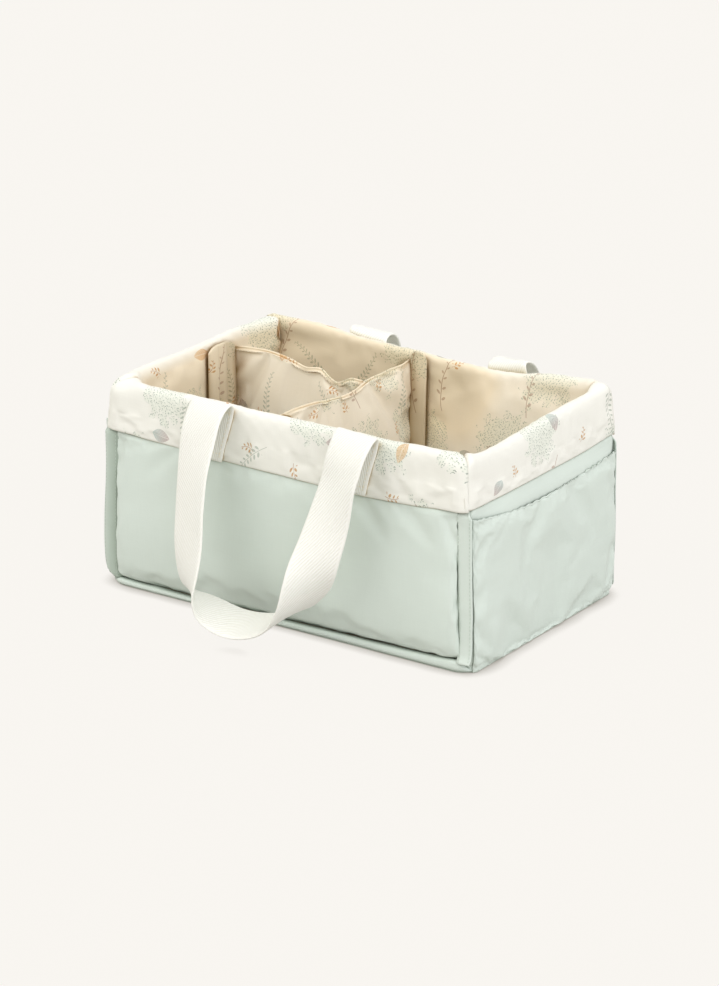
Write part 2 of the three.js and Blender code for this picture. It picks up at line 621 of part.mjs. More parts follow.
// The hanging loop in its own frame: x along the wall, y out from it, z up from the swing line
function loopFrames() {
  const start = new THREE.Vector2(-HANDLE_HALF_SPACING, 0);
  const curve = new THREE.CubicBezierCurve(
    start,
    new THREE.Vector2(-HANDLE_HALF_SPACING, LOOP_SHOULDER),
    new THREE.Vector2(-LOOP_BOTTOM_HALF, LOOP_DROP),
    new THREE.Vector2(0, LOOP_DROP));
  const half = RIBBON_STEPS / 2;
  const frames = [];
  for (let i = 0; i <= RIBBON_STEPS; i += 1) {
    const leg = i <= half ? 1 : -1;
    const share = i <= half ? i / half : (RIBBON_STEPS - i) / half;
    const point = curve.getPointAt(share);
    const heading = curve.getTangentAt(share);
    const late = THREE.MathUtils.smoothstep(share, LOOP_TURN_FROM, LOOP_TURN_TO);
    const turned = LOOP_TURN * (LOOP_EARLY_TURN * share + (1 - LOOP_EARLY_TURN) * late);
    const drop = point.y / LOOP_DROP;
    const bow = LOOP_BOW * 4 * drop * (1 - drop);
    const middle = hangingPoint(leg * point.x + LOOP_DRIFT * drop, point.y, bow);
    const across = hangingDirection(
      -leg * heading.y * Math.cos(turned), heading.x * Math.cos(turned), -Math.sin(turned));
    frames.push({ middle, across });
  }
  return frames.map(({ middle, across }, i) => {
    const before = frames[Math.max(0, i - 1)].middle;
    const after = frames[Math.min(RIBBON_STEPS, i + 1)].middle;
    const heading = after.clone().sub(before).normalize();
    const square = across.clone().addScaledVector(heading, -across.dot(heading)).normalize();
    return { middle, across: square, face: heading.clone().cross(square) };
  });
}

function hangingDirection(x, down, out) {
  const y = -down * Math.sin(LOOP_TILT) - out * Math.cos(LOOP_TILT);
  const z = -down * Math.cos(LOOP_TILT) + out * Math.sin(LOOP_TILT);
  return new THREE.Vector3(x, y, z);
}

function hangingPoint(x, down, bow) {
  return hangingDirection(x, down, 0).add(new THREE.Vector3(0, -bow, 0));
}

function addHandles() {
  for (const name of ['front', 'back']) {
    const side = SIDES[name];
    const turn = name === 'front' ? 0 : Math.PI;
    for (const sign of [-1, 1]) {
      const s = HANDLE_SHIFT[name] + sign * HANDLE_HALF_SPACING;
      const end = side.along[0] * sign > 0 ? 'right' : 'left';
      addPiece(box, `${name}_${end}_handle_tab`, handleTab(side, s), webbing);
    }
    const hanger = new THREE.Group();
    hanger.rotation.z = turn;
    const swing = new THREE.Group();
    swing.position.set(HANDLE_SHIFT[name], -SWING_DEPTH, SWING_HEIGHT);
    addPiece(swing, `${name}_handle_loop`, band(loopFrames()), webbing);
    hanger.add(swing);
    box.add(hanger);
  }
}

addBase();
addWalls();
addDivider();
addHandles();

export default box;
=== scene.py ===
"""Looks of the soft divided storage box: padded sage cloth, printed lining and cuff, webbing handles."""
import math
from collections import namedtuple
import bpy
import numpy as np
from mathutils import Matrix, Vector


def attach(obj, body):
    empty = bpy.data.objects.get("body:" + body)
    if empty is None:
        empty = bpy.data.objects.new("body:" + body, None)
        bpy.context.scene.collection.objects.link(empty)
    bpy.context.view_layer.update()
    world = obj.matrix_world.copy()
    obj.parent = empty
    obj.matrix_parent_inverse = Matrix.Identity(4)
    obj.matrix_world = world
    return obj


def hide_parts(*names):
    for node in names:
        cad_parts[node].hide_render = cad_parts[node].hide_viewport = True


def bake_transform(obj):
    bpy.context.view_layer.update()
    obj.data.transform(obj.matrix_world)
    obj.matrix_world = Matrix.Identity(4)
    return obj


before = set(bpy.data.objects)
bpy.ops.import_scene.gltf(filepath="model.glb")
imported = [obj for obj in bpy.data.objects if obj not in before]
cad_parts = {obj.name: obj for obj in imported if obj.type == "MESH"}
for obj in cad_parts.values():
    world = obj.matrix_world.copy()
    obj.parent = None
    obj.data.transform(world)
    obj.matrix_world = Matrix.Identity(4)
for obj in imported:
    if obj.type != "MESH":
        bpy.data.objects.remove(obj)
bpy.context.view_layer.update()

# Sizes of the box in millimetres, as its solids have them
HALF_LENGTH = 168.0
HALF_DEPTH = 97.0
RIM_HEIGHT = 184.0
FLARE = 5.0
INNER_CORNER = 2.0
SQUARENESS = 5.0
CUFF_SQUARENESS = 5.0
PANEL_FOOT = 6.8
FOOT_REACH = 174.0
UNDER_CUFF = 7.0
PANEL_HEAD = 140.7
LOW_SWELL = 5.0
SWELL_POWER = 0.42
HEM_SAG = 6.0
FLOOR_TOP = 12.0
BASE_HALF_LENGTH = 184.4
BASE_HALF_DEPTH = 115.0
BASE_CORNER = 16.0
END_CORNER = 5.0
END_FOOT = 0.8
POCKET_OPEN = 20.6
POCKET_HALF = 106.5
CROSS_X = -18.0
DIVIDER_HALF = 3.5
DIVIDER_FOOT = 12.6
LONG_Y_END = 46.0
LONG_Y_CROSS = 32.0
SWING_Y = -122.935
SWING_Z = 187.5
WEBBING_WIDTH = 38.0
WEBBING_THICKNESS = 2.2
HANDLE_HALF_SPACING = 72.0
STRAP_STEP = 2.2


# One of the four walls: the way along it, the way out of the box, and its half sizes
Wall = namedtuple("Wall", "name along out half_run half_out")

WALLS = {
    "front": Wall("front", (1, 0), (0, -1), HALF_LENGTH, HALF_DEPTH),
    "right": Wall("right", (0, 1), (1, 0), HALF_DEPTH, HALF_LENGTH),
    "back": Wall("back", (-1, 0), (0, 1), HALF_LENGTH, HALF_DEPTH),
    "left": Wall("left", (0, -1), (-1, 0), HALF_DEPTH, HALF_LENGTH),
}


# How far along its bolt each piece of cloth is cut; each lining is one step further than the last
LINING_CUT = 400
END_CUT = 500
POCKET_CUT = 900
FLOOR_CUT = 1300
CROSS_CUT = 1700
LONG_CUT = 2100
FLAP_CUT = 2500


# Shape helpers: all is worked out in millimetres, and make_mesh and sew_all make metres of it

def lean(y, z):
    """The long walls lean outwards."""
    return y * (1 + FLARE / HALF_DEPTH * z / RIM_HEIGHT)


def on_wall(wall, s, d, z, angle=0.0, squareness=SQUARENESS):
    """Points s along a wall, d out from its inner face and z up, turned by angle round the corner."""
    s, d, z, angle = np.broadcast_arrays(*(np.asarray(a, float) for a in (s, d, z, angle)))
    turn = INNER_CORNER + d
    sine, cosine = np.abs(np.sin(angle)), np.cos(angle)
    swell = (sine ** squareness + cosine ** squareness) ** (-1 / squareness)
    run = s + turn * swell * np.sin(angle)
    reach = wall.half_out - INNER_CORNER + turn * swell * cosine
    x = wall.along[0] * run + wall.out[0] * reach
    y = wall.along[1] * run + wall.out[1] * reach
    return np.stack([x, lean(y, z), z], -1)


def settled(z):
    """How far the outer cloth stands out at a height, where the padding has settled."""
    share = np.clip((z - PANEL_FOOT) / (PANEL_HEAD - HEM_SAG - PANEL_FOOT), 0, 1)
    return LOW_SWELL * np.sin(np.pi * share ** SWELL_POWER)


def lattice(ix, iy, seed):
    """A repeatable number between 0 and 1 for each whole-numbered place."""
    value = np.sin(ix * 127.1 + iy * 311.7 + seed * 74.7) * 43758.5453
    return value - np.floor(value)


def drift(u, v, size, seed):
    """Smooth unevenness between -1 and 1, with humps about size across."""
    x, y = np.broadcast_arrays(np.asarray(u, float) / size, np.asarray(v, float) / size)
    ix, iy = np.floor(x), np.floor(y)
    fx, fy = x - ix, y - iy
    fx, fy = fx ** 3 * (fx * (6 * fx - 15) + 10), fy ** 3 * (fy * (6 * fy - 15) + 10)
    low = lattice(ix, iy, seed) * (1 - fx) + lattice(ix + 1, iy, seed) * fx
    high = lattice(ix, iy + 1, seed) * (1 - fx) + lattice(ix + 1, iy + 1, seed) * fx
    return 2 * (low * (1 - fy) + high * fy) - 1


def puckers(along, from_seam, pitch, reach, seed):
    """Small gathers across a seam that fade out over reach."""
    wave = drift(along, from_seam * 0.35, pitch, seed)
    return wave * np.exp(-np.maximum(from_seam, 0) / reach)


def ease(x, low, high):
    t = np.clip((x - low) / (high - low), 0, 1)
    return t * t * (3 - 2 * t)


def drawn_in(t, power=8):
    """1 in the middle of a piece, falling steeply to 0 where t reaches 1 or -1."""
    return np.sqrt(np.clip(1 - np.abs(t) ** power, 0, 1))


def normals_of(grid, outwards=None):
    """Unit normals of a grid of points, on the side that outwards points to."""
    n = unit(np.cross(np.gradient(grid, axis=0), np.gradient(grid, axis=1)))
    if outwards is not None and np.sum(n.reshape(-1, 3).sum(0)[:len(outwards)] * outwards) < 0:
        n = -n
    return n


def finer(grid):
    """A grid with twice as many steps each way, on smooth curves through the old points."""
    for axis in (0, 1):
        g = np.moveaxis(grid, axis, 0)
        before = np.concatenate([2 * g[:1] - g[1:2], g[:-2]])
        after = np.concatenate([g[2:], 2 * g[-1:] - g[-2:-1]])
        middle = (9 * (g[:-1] + g[1:]) - before - after) / 16
        out = np.empty((2 * len(g) - 1,) + g.shape[1:])
        out[0::2] = g
        out[1::2] = middle
        grid = np.moveaxis(out, 0, axis)
    return grid


def grid_of(*parts):
    """A grid of places from rows and columns of each coordinate."""
    return np.stack(np.broadcast_arrays(*parts), -1)


def crowded(count):
    """Steps from 0 to 1 along a row, close together at both ends."""
    return (1 - np.cos(np.linspace(0, np.pi, count)))[None, :] / 2


def rumple(uv, size, seed):
    """The unevenness of a cloth at each of its places."""
    return drift(uv[..., 0], uv[..., 1], size, seed)


def unit(vectors):
    return vectors / np.maximum(np.linalg.norm(vectors, axis=-1, keepdims=True), 1e-9)


def border_of(rows, columns):
    """Row and column of each point round the border of a grid, in order."""
    top = [(0, c) for c in range(columns)]
    far = [(r, columns - 1) for r in range(1, rows)]
    bottom = [(rows - 1, c) for c in range(columns - 2, -1, -1)]
    near = [(r, 0) for r in range(rows - 2, 0, -1)]
    return np.array(top + far + bottom + near)


def sewn_round(grid, rows, columns):
    """Which points of a cloth are held: 1 on the given rows and columns of its grid."""
    held = np.zeros(grid.shape[:2])
    held[rows, :] = 1
    held[:, columns] = 1
    return held


def two_sided(face, back, rounding):
    """Points and faces of a closed sheet between two grids, with a rounded edge where rounding is over 0."""
    rows, columns = face.shape[:2]
    index = np.arange(rows * columns).reshape(rows, columns)
    a, b, c, d = index[:-1, :-1], index[:-1, 1:], index[1:, 1:], index[1:, :-1]
    quads = np.stack([a, b, c, d], -1).reshape(-1, 4)
    under = quads[:, ::-1] + rows * columns
    rim = border_of(rows, columns)
    inner = np.clip(rim, 1, [[rows - 2, columns - 2]])
    f, k = face[rim[:, 0], rim[:, 1]], back[rim[:, 0], rim[:, 1]]
    inward = (face[inner[:, 0], inner[:, 1]] + back[inner[:, 0], inner[:, 1]]) / 2
    middle = (f + k) / 2
    middle += unit(middle - inward) * np.linalg.norm(f - k, axis=1, keepdims=True) / 2 * rounding
    points = np.concatenate([face.reshape(-1, 3), back.reshape(-1, 3), middle])
    i_f = rim[:, 0] * columns + rim[:, 1]
    i_k = i_f + rows * columns
    i_m = np.arange(len(rim)) + 2 * rows * columns
    n_f, n_k, n_m = np.roll(i_f, -1), np.roll(i_k, -1), np.roll(i_m, -1)
    edge = np.concatenate([np.stack([n_f, i_f, i_m, n_m], -1), np.stack([n_m, i_m, i_k, n_k], -1)])
    return points, np.concatenate([quads, under, edge]), rim


def in_scene(name, data):
    """A new object of the scene."""
    thing = bpy.data.objects.new(name, data)
    bpy.context.scene.collection.objects.link(thing)
    return thing


def make_mesh(name, points, faces, uv=None, shade=None):
    """A smooth mesh piece with its faces outwards, in metres."""
    points = points * 0.001
    flat = points[faces]
    halves = np.cross(flat[:, 1], flat[:, 2]) + np.cross(flat[:, 2], flat[:, 3])
    volume = np.einsum("ij,ij->", flat[:, 0], halves)
    if volume < 0:
        faces = faces[:, ::-1]
    mesh = bpy.data.meshes.new(name)
    mesh.from_pydata(points.tolist(), [], faces.tolist())
    mesh.polygons.foreach_set("use_smooth", np.ones(len(mesh.polygons), bool))
    if uv is not None:
        layer = mesh.uv_layers.new(name="cut")
        corner = np.zeros(len(mesh.loops), np.int32)
        mesh.loops.foreach_get("vertex_index", corner)
        layer.data.foreach_set("uv", (uv * 0.001)[corner].astype(np.float32).ravel())
    if shade is not None:
        mesh.attributes.new("shade", "FLOAT", "POINT").data.foreach_set("value", shade.astype(np.float32))
    mesh.update()
    return in_scene(name, mesh)


def sheet_piece(name, face, back, uv, rounding=1.0, shade=None):
    points, faces, rim = two_sided(face, back, rounding)
    flat = uv.reshape(-1, 2)
    if shade is not None:
        shade = np.broadcast_to(shade, uv.shape[:2])
        shade = np.concatenate([shade.ravel(), shade.ravel(), shade[rim[:, 0], rim[:, 1]]])
    return make_mesh(name, points, faces, np.concatenate([flat, flat, uv[rim[:, 0], rim[:, 1]]]), shade)


# How the cloth is simulated while padding fills it
SETTLING = {"quality": 6, "mass": 0.15, "tension_stiffness": 25, "compression_stiffness": 25,
            "shear_stiffness": 8, "bending_stiffness": 1.5, "vertex_group_mass": "held", "use_pressure": True}
SETTLING_FRAMES = 20


def filled(face, back, held, pressure, cap, slack):
    """Lets padding push the cloth out between its seams by cloth simulation; held is 1 where it is sewn."""
    points, faces, _ = two_sided(face, back, 0)
    piece = make_mesh("settling", points, faces)
    count = face.shape[0] * face.shape[1]
    scene = bpy.context.scene
    group = piece.vertex_groups.new(name="held")
    weights = np.concatenate([held[0].ravel(), held[1].ravel(), np.ones(len(points) - 2 * count)])
    for level in np.unique(np.round(weights, 2)):
        chosen = np.nonzero(np.round(weights, 2) == level)[0]
        group.add(chosen.tolist(), float(level), "REPLACE")
    cloth = piece.modifiers.new("settle", "CLOTH")
    settings = {**SETTLING, "uniform_pressure_force": pressure, "shrink_min": -slack}
    for key, value in settings.items():
        setattr(cloth.settings, key, value)
    cloth.settings.effector_weights.gravity = 0
    cloth.collision_settings.use_self_collision = False
    cloth.point_cache.frame_start = 1
    cloth.point_cache.frame_end = SETTLING_FRAMES
    for number in range(1, SETTLING_FRAMES + 1):
        scene.frame_set(number)
    evaluated = piece.evaluated_get(bpy.context.evaluated_depsgraph_get())
    moved = np.zeros(len(points) * 3, np.float32)
    evaluated.data.vertices.foreach_get("co", moved)
    moved = moved.reshape(-1, 3) * 1000.0
    shift = moved - points
    length = np.maximum(np.linalg.norm(shift, axis=1, keepdims=True), 1e-9)
    moved = points + shift * np.minimum(1, cap / length)
    scene.frame_set(1)
    bpy.data.objects.remove(piece)
    return moved[:count].reshape(face.shape), moved[count:2 * count].reshape(face.shape)


def dress(piece, slot, body, *nodes):
    """Gives a finished piece its cloth and seats it in place of the solids that it stands for."""
    piece.data.materials.append(CLOTHS[slot])
    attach(piece, body)
    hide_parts(*nodes)


# Materials

VECTOR = "NodeSocketVector"
COLOUR = "NodeSocketColor"
WHITE = (1.0, 1.0, 1.0, 1.0)


class Value:
    """What a node puts out; a sum written with it becomes math nodes."""

    def __init__(self, nodes, socket):
        self.nodes = nodes
        self.socket = socket

    def __add__(self, other):
        return self.nodes.math("ADD", self, other)

    def __radd__(self, other):
        return self.nodes.math("ADD", other, self)

    def __sub__(self, other):
        return self.nodes.math("SUBTRACT", self, other)

    def __rsub__(self, other):
        return self.nodes.math("SUBTRACT", other, self)

    def __mul__(self, other):
        return self.nodes.math("MULTIPLY", self, other)

    def __truediv__(self, other):
        return self.nodes.math("DIVIDE", self, other)

    def __rtruediv__(self, other):
        return self.nodes.math("DIVIDE", other, self)

    def __abs__(self):
        return self.nodes.math("ABSOLUTE", self)


class Nodes:
    """Adds nodes to one tree, linking sockets and setting plain values alike."""

    def __init__(self, tree):
        self.tree = tree

    def put(self, socket, value):
        if isinstance(value, Value):
            self.tree.links.new(value.socket, socket)
        else:
            socket.default_value = value

    def add(self, kind, inputs=None, output=0, **settings):
        """Adds a node and returns one of its outputs."""
        node = self.tree.nodes.new(kind)
        for key, value in settings.items():
            setattr(node, key, value)
        for key, value in (inputs or {}).items():
            self.put(node.inputs[key], value)
        return Value(self, node.outputs[output])

    def math(self, operation, *values, clamp=False):
        return self.add("ShaderNodeMath", dict(enumerate(values)), operation=operation, use_clamp=clamp)

    def scaled(self, vector, factor):
        return self.add("ShaderNodeVectorMath", {0: vector, "Scale": factor}, operation="SCALE")

    def parts(self, vector):
        first = self.add("ShaderNodeSeparateXYZ", {0: vector})
        return [Value(self, socket) for socket in first.socket.node.outputs]

    def point(self, x, y, z=0.0):
        return self.add("ShaderNodeCombineXYZ", {0: x, 1: y, 2: z})

    def noise(self, vector, detail, roughness=0.5):
        return self.add("ShaderNodeTexNoise", {"Vector": vector, "Scale": 1.0, "Detail": detail,
                                               "Roughness": roughness})

    def mix(self, factor, first, second, blend="MIX"):
        return self.add("ShaderNodeMix", {0: factor, 6: first, 7: second}, 2,
                        data_type="RGBA", blend_type=blend, clamp_factor=True)

    def below(self, value, edge, soft):
        """1 where value is below edge, fading to 0 over soft."""
        return self.add("ShaderNodeMapRange", {0: value, 1: edge - soft, 2: edge, 3: 1.0, 4: 0.0},
                        interpolation_type="SMOOTHSTEP")

    def between(self, value, low, high, soft):
        """1 between two edges, fading to 0 just inside each."""
        return self.below(value, high, soft) * (1.0 - self.below(value, low, soft))

    def turned(self, x, y, angle):
        """A place turned by an angle."""
        cosine, sine = self.math("COSINE", angle), self.math("SINE", angle)
        return x * cosine - y * sine, x * sine + y * cosine

    def use(self, tree, **inputs):
        """Places a node group and returns its outputs by name."""
        node = self.tree.nodes.new("ShaderNodeGroup")
        node.node_tree = tree
        for key, value in inputs.items():
            self.put(node.inputs[key], value)
        return {socket.name: Value(self, socket) for socket in node.outputs}

    def seen_rays(self):
        """1 for what the camera sees, by itself or through a shine or glass."""
        rays = self.tree.nodes.new("ShaderNodeLightPath").outputs
        camera, shine, glass = (Value(self, rays[f"Is {kind} Ray"])
                                for kind in ("Camera", "Glossy", "Transmission"))
        return self.math("MAXIMUM", camera, self.math("MAXIMUM", shine, glass))

    def finished(self, **outputs):
        """Ends a node group with its named outputs."""
        for label in outputs:
            kind = COLOUR if label == "Colour" else "NodeSocketFloat"
            self.tree.interface.new_socket(name=label, in_out="OUTPUT", socket_type=kind)
        end = self.tree.nodes.new("NodeGroupOutput")
        for label, value in outputs.items():
            self.put(end.inputs[label], value)
        return self.tree


def begin_group(name, **inputs):
    """An empty node group; returns its helper and its inputs, which are numbers unless a kind is given."""
    tree = bpy.data.node_groups.new(name, "ShaderNodeTree")
    for label, value in inputs.items():
        plain = isinstance(value, float)
        socket = tree.interface.new_socket(name=label, in_out="INPUT",
                                           socket_type="NodeSocketFloat" if plain else value)
        if plain:
            socket.default_value = value
    n = Nodes(tree)
    given = tree.nodes.new("NodeGroupInput").outputs
    return [n] + [Value(n, given[label]) for label in inputs]


def linear(red, green, blue):
    """A colour as it is seen on a screen, in the numbers that a shader takes."""
    values = [c / 255 for c in (red, green, blue)]
    return tuple(c / 12.92 if c <= 0.04045 else ((c + 0.055) / 1.055) ** 2.4 for c in values) + (1.0,)


def plain_weave():
    """Threads over and under each other, with slubs; place is in metres on the cloth."""
    n, place, thread, slub = begin_group("plain weave", Place=VECTOR, Thread=0.00045, Slub=0.5)
    x, y, _ = n.parts(place)
    turn = math.pi / thread
    over = n.math("SINE", x * turn) * n.math("SINE", y * turn)
    warp = n.noise(n.point(x * 1500.0, y * 45.0), 2.0)
    weft = n.noise(n.point(x * 45.0, y * 1500.0, 5.0), 2.0)
    slubs = (warp + weft - 1.0) * slub
    return n.finished(Height=over * 0.5 + slubs, Tone=slubs * 0.8 + over * 0.12)


def soft_wear():
    """Slow changes of tone over a cloth, as from dye, handling and light."""
    n, place, size = begin_group("soft wear", Place=VECTOR, Size=0.06)
    wide = n.noise(n.scaled(place, 1.0 / size), 3.0, 0.55)
    return n.finished(Tone=(wide - 0.5) * 2.0)


def scatter():
    """Splits a cloth into cells and gives each motif its own place, turn and chance of being printed."""
    n, place, cell, seed, wander, turn = begin_group(
        "scatter", Place=VECTOR, Cell=60.0, Seed=0.0, Wander=0.3, Turn=1.0)
    x, y, _ = n.parts(place)
    up = y / cell
    row = n.math("FLOOR", up)
    along = x / cell + n.math("MODULO", row, 2.0) * 0.5
    column = n.math("FLOOR", along)
    chance = n.add("ShaderNodeTexWhiteNoise", {"Vector": n.point(column, row, seed)},
                   noise_dimensions="3D")
    first, second, third = n.parts(Value(n, chance.socket.node.outputs["Color"]))
    near_x = along - column - 0.5 - (first - 0.5) * wander
    near_y = up - row - 0.5 - (second - 0.5) * wander
    x, y = n.turned(near_x, near_y, (third - 0.5) * turn)
    return n.finished(X=x * cell, Y=y * cell, Chance=chance, Kind=first)


def leafy_sprig():
    """A bent stem with leaves in pairs that get smaller towards its tip; sizes are in millimetres."""
    n, x, y, length, pitch, leaf, bend, stem = begin_group(
        "leafy sprig", X=0.0, Y=0.0, Length=40.0, Pitch=5.0, Leaf=3.4, Bend=0.006, Stem=0.28)
    bent = x - y * y * bend
    side = abs(bent)
    share = y / length + 0.5
    size = leaf * (1.15 - share * 0.7)
    row = (y + n.math("SIGN", bent) * (pitch * 0.25)) / pitch
    step = (n.math("FRACT", row) - 0.5) * pitch
    out = side - size * 0.75
    along = out * 0.77 + step * 0.64
    across = step * 0.77 - out * 0.64
    a = along / (size * 0.72)
    b = across / (size * 0.3)
    vein = n.below(abs(across), 0.12, 0.08)
    leaves = n.below(a * a + b * b, 1.0, 0.35) * n.between(share, 0.02, 1.0, 0.02) * (1.0 - vein * 0.45)
    stalk = n.below(side, stem, 0.15) * n.between(share, -0.18, 1.0, 0.02)
    return n.finished(Leaves=leaves, Stalk=stalk)


def leaf_cloud():
    """A loose clump of tiny leaves that point all ways; sizes are in millimetres."""
    n, x, y, reach, grain, size, seed = begin_group(
        "leaf cloud", X=0.0, Y=0.0, Reach=17.0, Grain=2.3, Size=0.36, Seed=0.0)
    place = n.point(x, y, seed)
    wobble = n.noise(n.scaled(place, 0.11), 1.5)
    rounded = n.add("ShaderNodeVectorMath", {0: n.point(x, y * 0.8)}, "Value", operation="LENGTH")
    edge = reach * (wobble * 1.3 + 0.2)
    spot = n.scaled(place, 1.0 / grain)
    cells = n.add("ShaderNodeTexVoronoi", {"Vector": spot, "Scale": 1.0, "Randomness": 0.85},
                  voronoi_dimensions="2D").socket.node.outputs
    red, green, _ = n.parts(Value(n, cells["Color"]))
    off = n.add("ShaderNodeVectorMath", {0: spot, 1: Value(n, cells["Position"])}, operation="SUBTRACT")
    off_x, off_y, _ = n.parts(off)
    along, across = n.turned(off_x, off_y, red * -2.6)
    across = across * 2.3
    oval = n.math("SQRT", along * along + across * across)
    printed = n.below(oval, size, 0.12) * n.below(rounded, edge, 1.0)
    return n.finished(Leaves=printed * (green * 0.6 + 0.4), Tint=green,
                      Wash=n.below(rounded, edge * 1.05, 7.0))


def broad_leaf():
    """A single wide leaf with a pale midrib and side veins; sizes are in millimetres."""
    n, x, y, length, width = begin_group("broad leaf", X=0.0, Y=0.0, Length=17.0, Width=5.0)
    share = y / length
    away = share * 2.0
    edge = width * ((1.0 - away * away) * (1.0 - share * 0.5))
    side = abs(x)
    inside = n.below(side - edge, 0.0, 0.35) * n.below(abs(share), 0.5, 0.02)
    rib = n.below(side, 0.32, 0.2)
    slant = n.math("FRACT", (y - side * 0.8) / 2.6)
    vein = n.below(abs(slant - 0.5), 0.1, 0.07)
    pale = n.math("MAXIMUM", rib * 0.7, vein * 0.35)
    return n.finished(Leaf=inside * (1.0 - pale), Share=n.math("ADD", share, 0.5, clamp=True))


WEAVE = plain_weave()
WEAR = soft_wear()
SCATTER = scatter()
SPRIG = leafy_sprig()
CLOUD = leaf_cloud()
LEAF = broad_leaf()


def botanical_print():
    """A scattered print of leaf clouds, sprigs, twigs, buds and broad leaves, on a pale ground."""
    n, place, colour = begin_group("botanical print", Place=VECTOR, Ground=COLOUR)
    here = n.scaled(place, 1000.0)
    grey, mist = linear(128, 141, 128), linear(168, 178, 164)
    moss, bark = linear(140, 152, 134), linear(168, 138, 120)
    ochre, rust = linear(204, 160, 98), linear(168, 110, 62)
    mauve, blue = linear(178, 150, 146), linear(168, 190, 184)

    def cell(x, y, size, seed, wander, turn):
        """The cells of one kind of motif: the motif's own place, its kind and its chance."""
        shifted = n.add("ShaderNodeVectorMath", {0: here, 1: (x, y, 0.0)}, operation="ADD")
        spot = n.use(SCATTER, Place=shifted, Cell=size, Seed=seed, Wander=wander, Turn=turn)
        return {"X": spot["X"], "Y": spot["Y"]}, spot["Kind"], spot["Chance"]

    def ink(mask, chance, share, strength, dye):
        """The print so far with one more motif on it, in that share of the motif's cells."""
        return n.mix(mask * (n.below(chance, share, 0.001) * strength), colour, dye)

    at, kind, chance = cell(0.0, 0.0, 72.0, 3.0, 0.3, 2.2)
    cloud = n.use(CLOUD, **at, Reach=25.0, Grain=2.15, Size=0.42, Seed=2.0)
    colour = ink(cloud["Wash"], chance, 0.66, 0.32, linear(216, 226, 208))
    colour = ink(cloud["Leaves"], chance, 0.66, 0.9, n.mix(cloud["Tint"], mist, grey))

    at, kind, chance = cell(31.0, 17.0, 66.0, 11.0, 0.25, 2.6)
    sprig = n.use(SPRIG, **at, Length=38.0, Pitch=4.2, Leaf=3.0, Bend=0.007)
    colour = ink(sprig["Stalk"], chance, 0.5, 0.6, moss)
    colour = ink(sprig["Leaves"], chance, 0.5, 0.7, n.mix(kind, mist, moss))

    at, kind, chance = cell(9.0, 43.0, 84.0, 23.0, 0.3, 1.6)
    twig = n.use(SPRIG, **at, Length=46.0, Pitch=9.0, Leaf=3.4, Bend=-0.006, Stem=0.42)
    colour = ink(twig["Stalk"], chance, 0.55, 0.75, bark)
    colour = ink(twig["Leaves"], chance, 0.55, 0.65, n.mix(n.below(kind, 0.5, 0.01), mauve, bark))

    at, kind, chance = cell(52.0, 8.0, 49.0, 31.0, 0.5, 6.0)
    buds = n.use(SPRIG, **at, Length=11.0, Pitch=3.6, Leaf=3.0, Bend=0.03, Stem=0.3)
    colour = ink(buds["Stalk"], chance, 0.34, 0.7, rust)
    colour = ink(buds["Leaves"], chance, 0.34, 0.9, n.mix(kind, ochre, rust))

    for x, y, size, seed, share, length, width, first, last in (
            (71.0, 29.0, 92.0, 41.0, 0.5, 18.0, 5.5, blue, mauve),
            (13.0, 61.0, 98.0, 57.0, 0.45, 21.0, 5.0, ochre, linear(222, 190, 142))):
        at, kind, chance = cell(x, y, size, seed, 0.4, 3.0)
        leaf = n.use(LEAF, **at, Length=length, Width=width)
        colour = ink(leaf["Leaf"], chance, share, 0.7, n.mix(leaf["Share"], first, last))
    return n.finished(Colour=colour)


PRINT = botanical_print()


def begin_material(name, roughness, sheen):
    """A new material with its shader's plain values set; returns it, its helper and the shader's inputs."""
    material = bpy.data.materials.new(name)
    material.use_nodes = True
    shader = material.node_tree.nodes["Principled BSDF"].inputs
    for label, value in (("Roughness", roughness), ("Specular IOR Level", 0.25),
                         ("Sheen Weight", sheen), ("Sheen Roughness", 0.5)):
        shader[label].default_value = value
    n = Nodes(material.node_tree)
    return material, n, shader, n.add("ShaderNodeUVMap", uv_map="cut")


def crease_shaded(n, base, reach, colour):
    """A cloth's colour with painted shade in its creases and seams, where ambient occlusion finds them close.
    """
    open_sky = n.add("ShaderNodeAmbientOcclusion", {"Distance": reach}, "AO", samples=8)
    shut = n.add("ShaderNodeMapRange", {0: open_sky, 1: 0.05, 2: 0.85, 3: 1.0, 4: 0.0})
    return n.mix(1.0, base, n.mix(shut, WHITE, colour), "MULTIPLY")


def woven(name, colour, thread, slub=0.35, painted_shade_tints=((0.7, 0.74, 0.7, 1.0), (0.5, 0.53, 0.48, 1.0)), wear=0.05,
          crease_shade_colour=(0.42, 0.46, 0.4, 1.0), printed=False):
    """Plain or printed cloth, with painted shade: a tint for its deep places, a darker one for the deepest
    and one in its creases.
    """
    material, n, shader, place = begin_material(name, 0.9, 0.15)
    weave = n.use(WEAVE, Place=place, Thread=thread, Slub=slub)
    tone = n.use(WEAR, Place=place, Size=0.05)["Tone"]
    shade = n.add("ShaderNodeAttribute", None, "Fac", attribute_name="shade")
    # Painted shade: the shade attribute darkens and warms the cloth's colour in its deep places
    painted_shade_colour = n.mix(shade - 1.0, n.mix(shade, WHITE, painted_shade_tints[0]), painted_shade_tints[1])
    base = n.use(PRINT, Place=place, Ground=colour)["Colour"] if printed else colour
    base = crease_shaded(n, n.mix(1.0, base, painted_shade_colour, "MULTIPLY"), 0.018 if printed else 0.006, crease_shade_colour)
    value = 1.0 + (weave["Tone"] * 0.16 + tone * wear)
    n.put(shader["Base Color"], n.mix(1.0, base, n.point(value, value, value), "MULTIPLY"))
    n.put(shader["Roughness"], weave["Height"] * 0.05 + 0.9)
    n.put(shader["Normal"], n.add("ShaderNodeBump", {"Height": weave["Height"], "Strength": 0.35,
                                                     "Distance": 0.00012}))
    return material


